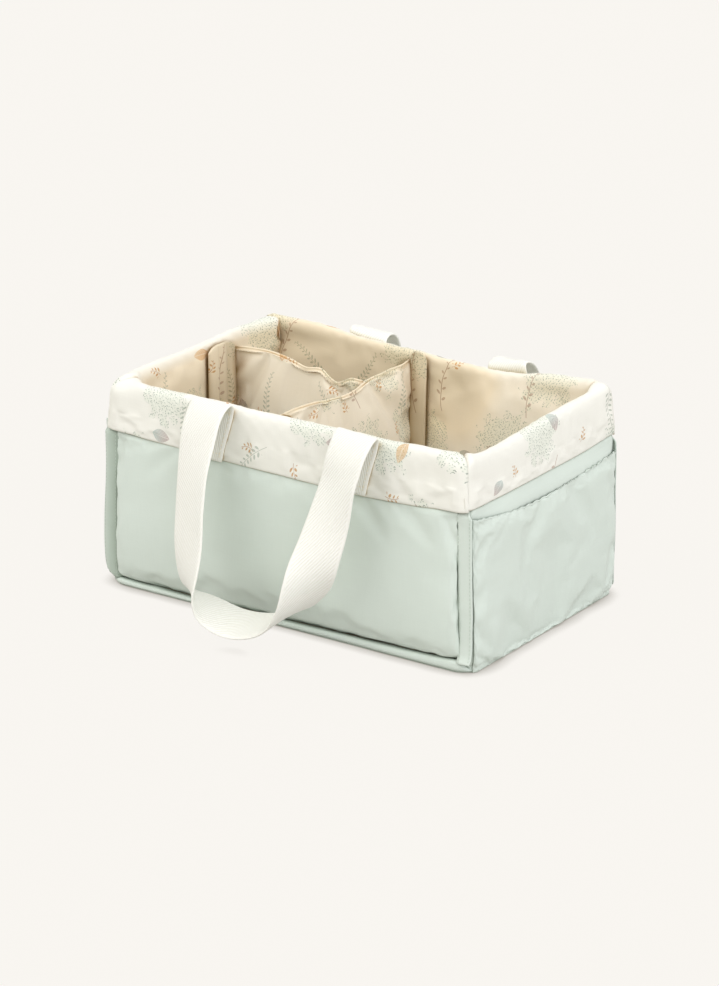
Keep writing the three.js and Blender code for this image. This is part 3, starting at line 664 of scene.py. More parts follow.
def twill(name, colour, shade):
    """Cotton webbing: raised diagonal ribs between two selvedges."""
    material, n, shader, place = begin_material(name, 0.85, 0.2)
    x, y, _ = n.parts(place)
    rib = n.math("SINE", x * (2 * math.pi / 0.0024) + y * (2 * math.pi / 0.0046))
    from_middle = abs(x - WEBBING_WIDTH * 0.0005)
    rib = rib * n.below(from_middle, 0.0176, 0.0008)
    fibre = n.noise(n.point(x * 2600.0, y * 500.0), 3.0)
    tone = n.math("ADD", rib * 0.5 + 0.5, (fibre - 0.5) * 0.8, clamp=True)
    # Painted shade: a tan darkening in the webbing's creases and folds
    n.put(shader["Base Color"], crease_shaded(n, n.mix(tone, shade, colour), 0.014, (0.88, 0.8, 0.58, 1.0)))
    n.put(shader["Roughness"], rib * -0.05 + 0.86)
    n.put(shader["Normal"], n.add("ShaderNodeBump", {"Height": fibre * 0.4 + rib, "Strength": 0.5,
                                                     "Distance": 0.0003}))
    return material


# The crease and deep-place colours of these cloths are painted shade; the rest is each cloth's own colour
SAGE = woven("sage_cloth", linear(211, 221, 212), 0.00042, wear=0.035)
PRINTED = woven("printed_cloth", linear(236, 235, 226), 0.0004, wear=0.03, crease_shade_colour=(0.48, 0.3, 0.06, 1.0),
                painted_shade_tints=((0.97, 0.85, 0.69, 1.0), (0.66, 0.56, 0.42, 1.0)), printed=True)
WEBBING = twill("webbing", linear(243, 243, 238), linear(231, 230, 219))
SAGE_THREAD = woven("sage_thread", linear(200, 211, 200), 0.0006)
CREAM_THREAD = woven("cream_thread", linear(238, 230, 212), 0.0006)
BOARD = woven("base_board", linear(190, 174, 143), 0.0012)
TAPE = woven("hook_and_loop", linear(240, 233, 218), 0.0011, slub=1.2)
CLOTHS = {"sage_cloth": SAGE, "printed_cloth": PRINTED, "hook_loop_tape": TAPE}


# Stitches: rows are gathered while the pieces are made and sewn at the end

SEWN = {}
STITCH = {"Pitch": 0.0033, "Length": 0.0026, "Width": 0.00062, "Unevenness": 0.1}
THREADS = {"sage_cloth": SAGE_THREAD, "printed_cloth": CREAM_THREAD, "webbing": CREAM_THREAD}


def sew(body, thread, line, up):
    """Notes a row of stitches along points on a cloth, with the way out of the cloth at each."""
    SEWN.setdefault((body, thread), []).append((line + up * 0.12, up))


def stitch_tree():
    """Lays a small rounded stitch every pitch along each row."""
    tree = bpy.data.node_groups.new("stitch_rows", "GeometryNodeTree")
    for label, kind in (("Rows", "Geometry"), *((size, "Float") for size in STITCH), ("Thread", "Material")):
        tree.interface.new_socket(name=label, in_out="INPUT", socket_type=f"NodeSocket{kind}")
    tree.interface.new_socket(name="Stitches", in_out="OUTPUT", socket_type="NodeSocketGeometry")
    n = Nodes(tree)
    given = {socket.name: Value(n, socket) for socket in tree.nodes.new("NodeGroupInput").outputs}
    curve = n.add("GeometryNodeMeshToCurve", {"Mesh": given["Rows"]})
    even = n.add("GeometryNodeResampleCurve", {"Curve": curve, "Length": given["Pitch"]}, mode="LENGTH")
    bead = n.add("GeometryNodeMeshUVSphere", {"Segments": 6, "Rings": 4, "Radius": 0.5})
    size = n.point(given["Length"], given["Width"], given["Width"] * 0.75)
    shaped = n.add("GeometryNodeTransform", {"Geometry": bead, "Scale": size})
    up = n.add("GeometryNodeInputNamedAttribute", {"Name": "up"}, data_type="FLOAT_VECTOR")
    turn = n.add("FunctionNodeAxesToRotation", {
        "Primary Axis": n.add("GeometryNodeInputTangent"), "Secondary Axis": up},
        primary_axis="X", secondary_axis="Z")
    least, most = 1.0 - given["Unevenness"], 1.0 + given["Unevenness"]
    uneven = n.add("FunctionNodeRandomValue", {2: least, 3: most, "Seed": 7}, 1, data_type="FLOAT")
    laid = n.add("GeometryNodeInstanceOnPoints", {"Points": even, "Instance": shaped, "Rotation": turn,
                                                  "Scale": uneven})
    real = n.add("GeometryNodeRealizeInstances", {0: laid})
    dyed = n.add("GeometryNodeSetMaterial", {"Geometry": real, "Material": given["Thread"]})
    n.put(tree.nodes.new("NodeGroupOutput").inputs["Stitches"], dyed)
    return tree


def sew_all():
    """Turns the noted rows into one mesh of stitches for each body and thread."""
    tree = stitch_tree()
    for (body, slot), rows in SEWN.items():
        edges, start = [], 0
        for line, _ in rows:
            edges += [(start + i, start + i + 1) for i in range(len(line) - 1)]
            start += len(line)
        mesh = bpy.data.meshes.new("rows")
        mesh.from_pydata((np.concatenate([line for line, _ in rows]) * 0.001).tolist(), edges, [])
        ups = np.concatenate([up for _, up in rows])
        mesh.attributes.new("up", "FLOAT_VECTOR", "POINT").data.foreach_set("vector", ups.ravel())
        piece = in_scene(f"{body}_{slot}_stitches", mesh)
        modifier = piece.modifiers.new("stitches", "NODES")
        modifier.node_group = tree
        values = {**STITCH, "Thread": THREADS[slot]}
        for item in tree.interface.items_tree:
            if item.name in values:
                modifier[item.identifier] = values[item.name]
        bake(piece)
        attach(piece, body)


def bake(piece):
    """Turns a piece's modifiers into its mesh."""
    graph = bpy.context.evaluated_depsgraph_get()
    mesh = bpy.data.meshes.new_from_object(piece.evaluated_get(graph), preserve_all_data_layers=True,
                                           depsgraph=graph)
    piece.modifiers.clear()
    piece.data = mesh


# Lining: up the inside of each wall, over the rim and down outside as the cuff

WALL_STEPS = 26
CUFF_STEPS = 7
CORNER_STEPS = 3
# The fold at the rim: how far out it is at each drop below its crest, from the inside over and down
FOLD_OUT = np.array([0.0, 0.5, 1.8, 4.6, 8.0, 10.6, 12.2, 13.2, 13.9, 14.6])
FOLD_DROP = np.array([8.0, 4.4, 1.6, 0.1, 0.5, 2.2, 5.4, 10.0, 16.0, 24.0])
HEM_OUT = 15.9
INSIDE_LENGTH = 167.0
# Up to here, along its cloth, a lining counts as inside the box
INSIDE_ENDS = 172

RIM_AT = {
    "front": ([-168, -120, -40, 40, 120, 168], [185.5, 184.5, 184, 184, 184.5, 185]),
    "right": ([-97, -72, -32, 0, 59, 97], [182.5, 180.5, 180.5, 182, 184.5, 187.5]),
    "back": ([-168, -115, -75, -45, -10, 20, 58, 101, 140, 168],
             [187.5, 184.5, 178.5, 179, 180.5, 181, 183, 186.5, 189, 189]),
    "left": ([-97, -50, 0, 50, 97], [188.5, 186.5, 185.5, 185.5, 186]),
}
HEM_AT = {
    "front": ([-168, -154, -104, -49, 19, 75, 137, 168],
              [143, 141.3, 139.5, 137.2, 136.1, 134.8, 137.1, 140.8]),
    "right": ([-97, -49, 6, 65, 97], [141.8, 141.2, 141.3, 141.8, 144.5]),
    "back": ([-168, -100, 0, 100, 168], [142, 138.5, 136, 138.5, 142]),
    "left": ([-97, 0, 97], [143, 140.5, 142]),
}
# Where the divider and its flap lie against each wall, from and to
PRESSED_AT = {"front": (CROSS_X - 4, CROSS_X + 20), "back": (-CROSS_X - 20, -CROSS_X + 4),
              "left": (-LONG_Y_END - 4, -LONG_Y_END + 40)}


def smooth_interp(s, table, reach=16.0):
    """A soft curve through a table of places and values."""
    places, values = table
    return sum(np.interp(s + k * reach, places, values) for k in (-1, -0.5, 0, 0.5, 1)) / 5


def lining_grid(wall, number):
    """The seen face of one wall's lining, with its place on the cut cloth."""
    straight = wall.half_run - INNER_CORNER
    columns = int(round(2 * straight / 6.5))
    angles = np.linspace(math.pi / 4, 0, CORNER_STEPS, endpoint=False)
    s = np.concatenate([np.full(CORNER_STEPS, -straight), np.linspace(-straight, straight, columns),
                        np.full(CORNER_STEPS, straight)])
    angle = np.concatenate([-angles, np.zeros(columns), angles[::-1]])
    rim = smooth_interp(s, RIM_AT[wall.name])[:, None]
    hem = smooth_interp(s, HEM_AT[wall.name])[:, None]
    up = np.linspace(0, 1, WALL_STEPS, endpoint=False)[None, :]
    down = np.linspace(0, 1, CUFF_STEPS + 1)[None, 1:]
    z_in = FLOOR_TOP - 3 + up * (rim - FOLD_DROP[0] - FLOOR_TOP + 3)
    z_fold = rim - FOLD_DROP
    z_out = rim - FOLD_DROP[-1] + down * (hem - rim + FOLD_DROP[-1])
    d_out = FOLD_OUT[-1] + (HEM_OUT - FOLD_OUT[-1]) * down + 0.5 * np.sin(np.pi * down)
    z = np.concatenate([z_in, z_fold, z_out], 1)
    d = np.concatenate([np.zeros_like(z_in), np.broadcast_to(FOLD_OUT, z_fold.shape),
                        np.broadcast_to(d_out, z_out.shape)], 1)
    grid = on_wall(wall, s[:, None], d, z, angle[:, None], CUFF_SQUARENESS)
    over = np.concatenate([[0], np.cumsum(np.hypot(np.diff(FOLD_OUT), np.diff(FOLD_DROP)))])
    v = np.concatenate([up[0] * INSIDE_LENGTH, INSIDE_LENGTH + over, INSIDE_LENGTH + over[-1] + down[0] * 19])
    u = s + angle * 10 + LINING_CUT * number
    uv = grid_of(u[:, None], v[None, :])
    if wall.name == "left":
        slack = 10.5 * np.exp(-((s[:, None] + 95) / 22) ** 2) * (1 - ease(v, 174, 190)) * ease(v, 15, 100)
        grid[..., 0] += slack
    # The stuffed rim rounds off the inside of each corner, most of all at the front left
    corner = np.sign(grid[..., :2])
    soft = 2.0 + 4.0 * (corner < 0).all(-1)
    near = np.exp(-(np.maximum(wall.half_run - np.abs(s), 0) / 12) ** 2)[:, None]
    near = near * ease(v, 140, 164) * (1 - ease(v, 176, 190))
    grid[..., :2] -= corner * (near * soft)[..., None]
    return grid, uv, s, v


def pressed(wall, s):
    """1 where the divider or its flap lies against a wall's lining, 0 where the lining is free."""
    if wall.name not in PRESSED_AT:
        return np.zeros((len(s), 1))
    start, end = PRESSED_AT[wall.name]
    return (ease(s, start - 9, start) * (1 - ease(s, end, end + 9)))[:, None]


def lining_fullness(wall, s, v):
    """How far the padding pushes the lining into the box, less at its seams and where a divider presses."""
    t = np.clip(np.abs(s) / wall.half_run, 0, 1)[:, None]
    up = np.clip(v / INSIDE_ENDS, 0, 1)[None, :]
    full = 3.2 * drawn_in(t, 12) * np.sin(np.pi * up) ** 0.6
    return full * (1 - 0.95 * pressed(wall, s))


def lining_thickness(v):
    return np.interp(v, [0, 150, INSIDE_ENDS, 195, 224], [1.2, 1.2, 1.6, 2.6, 2.4])[None, :, None]


def add_lining(wall, number):
    grid, uv, s, v = lining_grid(wall, number)
    out = -normals_of(grid)
    inside = (v < INSIDE_ENDS)[None, :, None]
    grid = grid + out * np.where(inside, lining_fullness(wall, s, v)[..., None], 0)
    held_face = sewn_round(grid, [0, 1, -2, -1], [0, 1, -2, -1])
    held_face[:, (v > 163) & (v < 206)] = 0.9
    held_face = np.maximum(held_face, 0.95 * pressed(wall, s))
    back = grid - out * lining_thickness(v)
    grid, _ = filled(grid, back, (held_face, np.ones_like(held_face)), 2.5, 3.0, 0.012)
    grid, uv = map(finer, (grid, uv))
    s, v = uv[:, 0, 0] - LINING_CUT * number, uv[0, :, 1]
    out = -normals_of(grid)
    from_corner = np.broadcast_to((wall.half_run - np.abs(s))[:, None], uv.shape[:2])
    cuff = ease(v, 180, 200)[None, :]
    rim_only = (ease(v, 140, 160) * (1 - ease(v, 178, 192)))[None, :]
    wrinkle = (0.9 - 0.3 * cuff) * rumple(uv, 34, 5 + number)
    wrinkle += 0.35 * drift(uv[..., 0] * 1.2, uv[..., 1], 13, 9 + number)
    wrinkle += 1.7 * puckers(uv[..., 1], from_corner, 8, 13, 13 + number)
    wrinkle += 1.3 * puckers(uv[..., 0] + 0.6 * uv[..., 1], from_corner, 7, 16, 17 + number) * rim_only
    wrinkle += 1.2 * np.exp(-((from_corner - 5) / 7) ** 2) * cuff
    seam = np.exp(-(np.maximum(from_corner + 6, 0) / 3.5) ** 2)
    wrinkle = wrinkle * (1 - seam) - 1.2 * seam
    wrinkle = wrinkle * (1 - 0.6 * ease(v, 216, 223)[None, :])
    wrinkle = wrinkle * (1 - 0.85 * pressed(wall, s) * (v < 165))
    grid = grid + out * wrinkle[..., None]
    back = grid - out * lining_thickness(v)
    # Painted shade on the lining: warm darkening down the inner walls, strongest high on the back wall,
    # less towards the back wall's right end and low down, and none on the rim and cuff
    if wall.name == "back":
        shade = (1 - ease(v, 166, 186)) * (1.85 - 0.6 * ease(162 - v, 0, 35) - 0.8 * ease(135 - v, 0, 50))
    else:
        shade = 1.2 + 0.3 * ease(INSIDE_ENDS - v, 0, 50) - 1.0 * ease(135 - v, 0, 50)
        shade = (1 - ease(v, 158, 182)) * shade
    far = ease(s * wall.along[0], 35, 85) if wall.name == "back" else 0 * s
    shade = shade[None, :] * (1 - 0.65 * far)[:, None]
    piece = sheet_piece(f"{wall.name}_lining_cloth", grid, back, uv, shade=shade)
    dress(piece, "printed_cloth", "caddy", f"{wall.name}_lining_cuff")


for number, wall in enumerate(WALLS.values()):
    add_lining(wall, number)


# Outer panels, bindings and pockets

FOOT_AT = {
    "front": ([-174, -100, 0, 60, 118, 150, 174], [6.3, 4.8, 5.6, 7.2, 8.0, 9.4, 11.0]),
    "back": ([-174, 0, 174], [7.5, 6.0, 7.5]),
}
MOUTH_AT = ([-112, -78, -48, -20, 0, 33, 58, 106, 112],
            [134, 129, 125, 123.6, 123.5, 125.4, 126.4, 129.4, 130])


def rounded_foot(z, foot, height):
    """0 at the foot, rising as a quarter of a circle to 1 at height above it."""
    return np.sqrt(1 - (1 - np.clip((z - foot) / height, 0, 1)) ** 2)


def hem_at(wall, s):
    return smooth_interp(s, HEM_AT[wall.name])


def panel_edge(z):
    """Half the width of a long wall's panel, which spreads a little towards its foot."""
    return 175.6 - 3.6 * np.clip(z / PANEL_HEAD, 0, 1)


def seam_out(z):
    """How far out the corner seams are."""
    return 10.6 + 0.5 * settled(z)


def add_long_panel(wall):
    """A padded outer panel of a long wall, which swells out over its two bindings and above the base."""
    t = -np.cos(np.linspace(0, np.pi, 73))[:, None]
    level = crowded(33)
    foot = smooth_interp(t * FOOT_REACH, FOOT_AT[wall.name]) + 3.0 * np.abs(t) ** 26
    hem = hem_at(wall, t * FOOT_REACH)
    z = foot + level * (hem + UNDER_CUFF - foot)
    share = np.clip((z - foot) / (hem - foot), 0, 1)
    rise = rounded_foot(z, foot, 6)
    plump = drawn_in(t, 14)
    swell = 4.0 * np.sin(np.pi * plump ** 1.3) * rise - 2.2 * (1 - plump)
    s = t * panel_edge(z) + np.sign(t) * swell
    full = 4.4 + 2.2 * np.sin(np.pi * share ** 0.8) + 0.5 * settled(z)
    d = seam_out(z) * rise + 10.0 * (1 - rise) + full * plump * rise
    tucked = ease(z, hem - 3, hem + 3)
    d = d * (1 - tucked) + 11.6 * tucked
    grid = on_wall(wall, s, d, z)
    uv = grid_of(s, z)
    back = on_wall(wall, s, 9.0, z)
    held = sewn_round(grid, [0, 1, -2, -1], [0, -1])
    held[z > hem - 3] = 1
    grid, _ = filled(grid, back, (held, np.ones_like(held)), 2.0, 2.0, 0.009)
    grid, back, uv = map(finer, (grid, back, uv))
    out = normals_of(grid, wall.out)
    edge = 175 - np.abs(uv[..., 0])
    wrinkle = 0.7 * rumple(uv, 48, 21) + 0.25 * rumple(uv, 17, 22)
    wrinkle += 1.3 * puckers(uv[..., 1], edge, 8, 8, 23)
    wrinkle += 0.8 * puckers(uv[..., 0], uv[..., 1] - PANEL_FOOT, 12, 8, 24)
    fade = ease(edge, 0, 5) * ease(uv[..., 1], PANEL_FOOT - 1, PANEL_FOOT + 5)
    grid = grid + out * (wrinkle * fade)[..., None]
    piece = sheet_piece(f"{wall.name}_padded_panel", grid, back, uv, 0.6)
    dress(piece, "sage_cloth", "caddy", f"{wall.name}_outer_panel", f"{wall.name}_wall_foam")


def add_binding(wall, sign):
    """A flat strip of cloth sewn down over the corner seam, its end hanging over the base's edge."""
    w = np.linspace(0, 1, 15)[:, None]
    level = np.linspace(0, 1, 61)[None, :]
    foot = smooth_interp(sign * np.array(FOOT_REACH), FOOT_AT[wall.name]) - 0.6
    hem = hem_at(wall, sign * np.array(FOOT_REACH))
    z = foot + level * (hem + 5 - foot)
    tucked = ease(z, hem - 5, hem - 0.5)
    left = wall.along[0] * sign < 0
    inner = panel_edge(z) - 3.0
    outer = 184.0 + 0.35 * settled(z) + 0.4 * drift(z, 0, 30, 33)
    if left:
        outer = 188.4 + 4.6 * ease(140 - z, 20, 110) - 7.0 * np.exp(-np.maximum(z - foot, 0) / 4)
    outer = outer - 3.5 * ease(z, hem - 7, hem - 1)
    s = sign * (inner + (outer - inner) * w)
    d = 12.6 + 0.5 * settled(z) + 1.6 * w * (1 - w) + 4.4 * np.exp(-(z - foot) / 6) * (0.4 if left else 1.0)
    turned_back = 4.6 * np.maximum((w - 0.4) / 0.6, 0) ** 2 if left else 0.8 * w ** 1.3
    d = d - (1.6 * np.exp(-(w / 0.14) ** 2) + turned_back)
    d = d * (1 - tucked) + 10.0 * tucked + 0.22 * drift(z, w * 4, 7, 31)
    grid = finer(on_wall(wall, s, d, z))
    uv = finer(grid_of(s, z))
    out = normals_of(grid, wall.out)
    end = "left" if left else "right"
    # Painted shade on the left strip, darkest beside the panel, where it turns away from the lamps
    shade = np.clip(1.9 - 1.7 * w, 0, 2) if left else 0 * w
    shade = finer(np.broadcast_to(shade, s.shape)[..., None])[..., 0]
    piece = sheet_piece(f"{wall.name}_{end}_binding_strip", grid, grid - out * 1.3, uv, shade=shade)
    dress(piece, "sage_cloth", "caddy", f"{wall.name}_{end}_corner_binding")
    for column in (6, -4):
        sew("caddy", "sage_cloth", grid[column, 2:-8], out[column, 2:-8])


def end_face(z):
    """How far out the end's cloth stands from the inside of the wall."""
    return 15.3 + 0.6 * settled(z) + 0.6 * np.exp(-np.maximum(z - END_FOOT, 0) / 6)


def end_edge(z):
    """Half the width of the end's cloth, to the outside of its corner."""
    return 107.4 + 0.4 * settled(z)


def pressed_out(t, z):
    """The end's padding leans on the inside of the pocket."""
    room = np.maximum(19.3 - end_face(z), 0)
    return room * drawn_in(t) * ease(z, 12, 45) * (1 - ease(z, 127, 140))


def add_end_cloth(wall):
    """The padded cloth of an end, turned in at its corners under the bindings."""
    face = np.linspace(-1, 1, 57)[:, None]
    level = crowded(33)
    hem = hem_at(wall, face * 97)
    side_hem = {-1: hem[:1], 1: hem[-1:]}
    parts = []
    for side in (-1, 0, 1):
        if side == 0:
            z = END_FOOT + level * (hem + UNDER_CUFF - END_FOOT)
            s = face * (end_edge(z) - END_CORNER)
            d = end_face(z) + pressed_out(face, z)
            u = face * 104
        else:
            z = END_FOOT + level * (side_hem[side] + UNDER_CUFF - END_FOOT)
            turn = np.radians([[90.0], [60.0], [30.0]])
            bent_s = end_edge(z) - END_CORNER * (1 - np.sin(turn))
            bent_d = end_face(z) - END_CORNER * (1 - np.cos(turn))
            s = np.concatenate([end_edge(z), end_edge(z), bent_s])
            d = np.concatenate([0 * z + 7, 0 * z + 10, bent_d])
            u = np.array([[116.0], [113.0], [109.0], [107.4], [105.7]])
            if side > 0:
                s, d, u = s[::-1], d[::-1], u[::-1]
            s, u = side * s, side * u
        parts.append(np.broadcast_arrays(s, d, z, u))
    s, d, z, u = (np.concatenate(rows) for rows in zip(*parts))
    under = smooth_interp(np.clip(s, -97, 97), HEM_AT[wall.name])
    tucked = ease(z, under - 3, under + 2)
    d = np.where(d > 11.4, d * (1 - tucked) + 11.4 * tucked, d)
    s = s - np.sign(s) * np.maximum(np.abs(s) - 97, 0) * 0.4 * ease(z, under - 4, under)
    grid = on_wall(wall, s, d, z)
    uv = grid_of(u + END_CUT, z)
    grid, uv = map(finer, (grid, uv))
    out = normals_of(grid, wall.out)
    band = ease(uv[..., 1], 100, 125) * (1 - ease(uv[..., 1], 136, 142))
    band = band * ease(104 - np.abs(uv[..., 0] - END_CUT), 0, 8)
    grid = grid + out * (0.5 * band * rumple(uv, 26, 61))[..., None]
    piece = sheet_piece(f"{wall.name}_end_cloth", grid, grid - out * 2.4, uv)
    dress(piece, "sage_cloth", "caddy", f"{wall.name}_outer_panel", f"{wall.name}_wall_foam")


def add_pocket(wall):
    """A slip pocket: sewn at its sides and foot, with a mouth that hangs a little in the middle."""
    t = -np.cos(np.linspace(0, np.pi, 61))[:, None]
    level = crowded(41)
    mouth = smooth_interp(t * POCKET_HALF, MOUTH_AT)
    z = END_FOOT + level * (mouth - END_FOOT)
    half = end_edge(z) - 0.9
    s = t * half
    edge = np.clip(END_CORNER - (end_edge(z) - np.abs(s)), 0, END_CORNER)
    on_panel = end_face(z) + 0.5 - END_CORNER + np.sqrt(END_CORNER ** 2 - edge ** 2)
    stands = POCKET_OPEN - 1.2 * ease(z, mouth - 14, mouth)
    d = on_panel + 1.3 + np.maximum(stands - on_panel, 0) * drawn_in(t, 5) * rounded_foot(z, END_FOOT, 30)
    grid = on_wall(wall, s, d, z)
    uv = grid_of(t * POCKET_HALF + POCKET_CUT, z)
    out = normals_of(grid, wall.out)
    back = grid - out * 1.3
    held = sewn_round(grid, [0, 1, -2, -1], [0, 1, 2])
    held[:, -3:] = 0.9
    grid, back = filled(grid, back, (held, held), 0.4, 2.2, 0.018)
    grid, uv = map(finer, (grid, uv))
    out = normals_of(grid, wall.out)
    edge = POCKET_HALF - np.abs(uv[..., 0] - POCKET_CUT)
    wrinkle = 0.8 * rumple(uv, 42, 41) + 0.2 * rumple(uv, 15, 42)
    wrinkle += 1.5 * puckers(uv[..., 1], edge, 9, 13, 43) * (1 - ease(uv[..., 1], 112, 128))
    wrinkle += 0.6 * puckers(uv[..., 0], uv[..., 1], 12, 8, 44)
    grid = grid + out * (wrinkle * ease(edge, 1, 8) * ease(uv[..., 1], 1, 18))[..., None]
    thick = 1.3 - 0.6 * ease(uv[..., 1:2], 110, 124)
    piece = sheet_piece(f"{wall.name}_pocket_cloth", grid, grid - out * thick, uv)
    dress(piece, "sage_cloth", "caddy", f"{wall.name}_end_pocket")


for wall in (WALLS["front"], WALLS["back"]):
    add_long_panel(wall)
    add_binding(wall, -1)
    add_binding(wall, 1)
for wall in (WALLS["left"], WALLS["right"]):
    add_end_cloth(wall)
    add_pocket(wall)


# Base

def rounded_outline(half_length, half_depth, radius, run=14):
    """Points round a rectangle with round corners, evenly spread along its sides."""
    arcs = []
    for k, (sx, sy) in enumerate([(1, -1), (1, 1), (-1, 1), (-1, -1)]):
        angle = (k - 1 + np.linspace(0, 1, 11)) * math.pi / 2
        arcs.append(np.stack([sx * (half_length - radius) + radius * np.cos(angle),
                              sy * (half_depth - radius) + radius * np.sin(angle)], 1))
    share = np.arange(1, run)[:, None] / run
    rows = []
    for arc, following in zip(arcs, arcs[1:] + arcs[:1]):
        rows += [arc, arc[-1] + (following[0] - arc[-1]) * share]
    return np.concatenate(rows)


def ring_piece(name, rings, uv, steps):
    """A piece skinned over rings of points; the last ring joins the first where steps counts them all."""
    count, size = rings.shape[:2]
    index = np.arange(count * size).reshape(count, size)
    beside, above = np.roll(index, -1, 1), np.roll(index, -1, 0)
    faces = np.stack([index, beside, np.roll(beside, -1, 0), above], -1)[:steps].reshape(-1, 4)
    return make_mesh(name, rings.reshape(-1, 3), faces, uv.reshape(-1, 2))


def add_base_roll():
    """The soft rolled edge of the base, fuller along the long sides and hidden at the ends."""
    outline = rounded_outline(BASE_HALF_LENGTH, BASE_HALF_DEPTH, BASE_CORNER, 40)
    ends = ease(np.abs(outline[:, 0]), 173, 184)
    front = smooth_interp(outline[:, 0], FOOT_AT["front"]) - 0.3
    height = np.where(outline[:, 1] < 0, front, 6.2) * (1 - ends) + 2.6 * ends
    travel = np.cumsum(np.linalg.norm(np.diff(outline, axis=0, prepend=outline[:1]), axis=1))
    uneven = (0.7 * drift(travel, 0, 24, 51) + 0.3 * drift(travel, 0, 8, 52)) * (1 - ends)
    reach = np.array([BASE_HALF_LENGTH - BASE_CORNER, BASE_HALF_DEPTH - BASE_CORNER])
    inward = unit(np.clip(outline, -reach, reach) - outline)
    profile = [(1.6, 0.02), (0.5, 0.2), (0.0, 0.45), (0.3, 0.72), (1.3, 0.92), (3.4, 1.0), (6.5, 0.95),
               (9.0, 0.7), (9.0, 0.1)]
    rings = []
    for inset, level in profile:
        flat = outline + inward * (inset - uneven * math.exp(-inset / 3))[:, None]
        z = 0.5 + level * (height + 0.4 * uneven)
        rings.append(np.stack([flat[:, 0], lean(flat[:, 1], z), z], 1))
    across = np.linspace(0, 22, len(rings))[:, None]
    piece = ring_piece("base_soft_edge", np.array(rings), grid_of(travel[None, :], across), len(rings))
    dress(piece, "sage_cloth", "caddy", "base_rolled_edge")


def add_base_cloth():
    """The cloth under the base, drawn up a little at its edge."""
    outline = rounded_outline(BASE_HALF_LENGTH - 1.4, BASE_HALF_DEPTH - 1.4, BASE_CORNER - 1.4)
    profile = np.array([(1e-4, 0), (0.3, 0), (0.6, 0), (0.9, 0), (0.975, 0), (0.995, 0.25), (1, 0.7),
                        (0.995, 1.1), (0.9, 1.1), (0.5, 1.1), (1e-4, 1.1)])
    share, z = profile.T[..., None]
    rings = grid_of(outline[:, 0] * share, outline[:, 1] * share, z)
    piece = ring_piece("base_under_cloth", rings, rings[..., :2], len(rings) - 1)
    weld = piece.modifiers.new("weld", "WELD")
    weld.merge_threshold = 0.0001
    bake(piece)
    dress(piece, "sage_cloth", "caddy", "base_cloth")


def add_floor_pad():
    """The padded floor, crowned between its edges."""
    x = np.linspace(-1, 1, 53)[:, None]
    y = np.linspace(-1, 1, 33)[None, :]
    edge = np.sqrt(np.clip((1 - x ** 10) * (1 - y ** 10), 0, 1))
    z = FLOOR_TOP - 2.2 + 2.2 * edge
    top = grid_of(x * (HALF_LENGTH - 1), y * (HALF_DEPTH - 1), z)
    low = grid_of(x * (HALF_LENGTH - 1), y * (HALF_DEPTH - 1), 5.2)
    uv = top[..., :2] + FLOOR_CUT
    held = sewn_round(top, [0, -1], [0, -1])
    top, _ = filled(top, low, (held, np.ones_like(held)), 1.5, 2.0, 0.015)
    top, low, uv = map(finer, (top, low, uv))
    top[..., 2] += 0.4 * rumple(uv, 40, 61) * finer(edge)
    # The floor pad takes the full painted shade of the inside of the box
    piece = sheet_piece("floor_pad", top, low, uv, 0.5, np.ones(uv.shape[:2]))
    dress(piece, "printed_cloth", "caddy", "base_padding", "base_lining")


add_base_roll()
add_base_cloth()
add_floor_pad()
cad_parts["base_board"].data.materials.clear()
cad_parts["base_board"].data.materials.append(BOARD)


# Divider

CROSS_TOP_AT = ([-100, -80, -65, -43, -21, 1.5, 20, 28.5, 45, 66, 76, 87, 94, 100],
                [176, 176.2, 176.7, 174.6, 171, 168.9, 170, 172.4, 173.2, 173.6, 173.2, 172.9, 174.4, 176])
LONG_TOP_AT = ([-168, -161, -152, -138, -126, -116, -105, -97, -89, -85, -79, -72, -65, -58.6, -52,
                -47, -40.6, -35, -29.4, -25, -20.5],
               [173.6, 175.2, 176.2, 177.3, 177.8, 177.1, 175.8, 174.3, 172.8, 171.7, 172.4, 173.6,
                173.2, 169.2, 166, 165.9, 168.5, 171.9, 174.5, 174, 172.8])


def add_divider(name, x, y, cut, across, top, sides, plump, sway_of):
    """A thin padded panel of the insert: two faces sewn together, thin at the seams, the top one narrow."""
    level = crowded(35)
    z = DIVIDER_FOOT + level * (top - DIVIDER_FOOT)
    half = 0.9 + (DIVIDER_HALF + plump) * np.sin(np.pi * level ** 0.9) ** 0.5 * sides
    half = np.where(top - z < 2.2, 0.9, half)[..., None]
    place = grid_of(x, lean(y, z), z)
    held = sewn_round(place, [0, -1], [0, -3, -2, -1])
    face, back = filled(place + half * across, place - half * across, (held, held), 1.6, 3.0, 0.03)
    face, back, uv, under = (finer(grid) for grid in (face, back, grid_of(cut, z), grid_of(top - z)))
    under = under[..., 0]
    bow, fine = sway_of(uv, under)
    bow = bow * finer(sides + 0 * level)
    fine = fine * np.sin(np.pi * finer(level + 0 * sides))
    face = face + across * (bow + fine)[..., None]
    back = back + across * (bow - fine)[..., None]
    # Painted shade on the divider: a warm tint, a little less low down and more on its narrow top edge
    shade = 0.6 - 0.15 * ease(under, 20, 60) + 0.5 * np.exp(-(under / 3) ** 2)
    piece = sheet_piece(f"{name}_divider_pad", face, back, uv, 0.8, shade)
    dress(piece, "printed_cloth", "divider_insert", f"{name}_divider_cover", f"{name}_divider_foam")
    row = np.abs(under[len(under) // 2] - 3.6).argmin()
    for side, way in ((face, 1.0), (back, -1.0)):
        sew("divider_insert", "printed_cloth", side[4:-4, row], np.tile(across * way, (len(side) - 8, 1)))


def cross_sway(uv, under):
    """How the cross divider's middle sways, and how its faces are rumpled."""
    sway = 1.4 * drift(uv[..., 0], uv[..., 1] * 0.3, 38, 71)
    sway += 0.9 * drift(uv[..., 0], uv[..., 1] * 0.5, 15, 72)
    return sway * np.exp(-under / 14) + 0.8 * rumple(uv, 45, 73), 0.35 * rumple(uv, 13, 74)


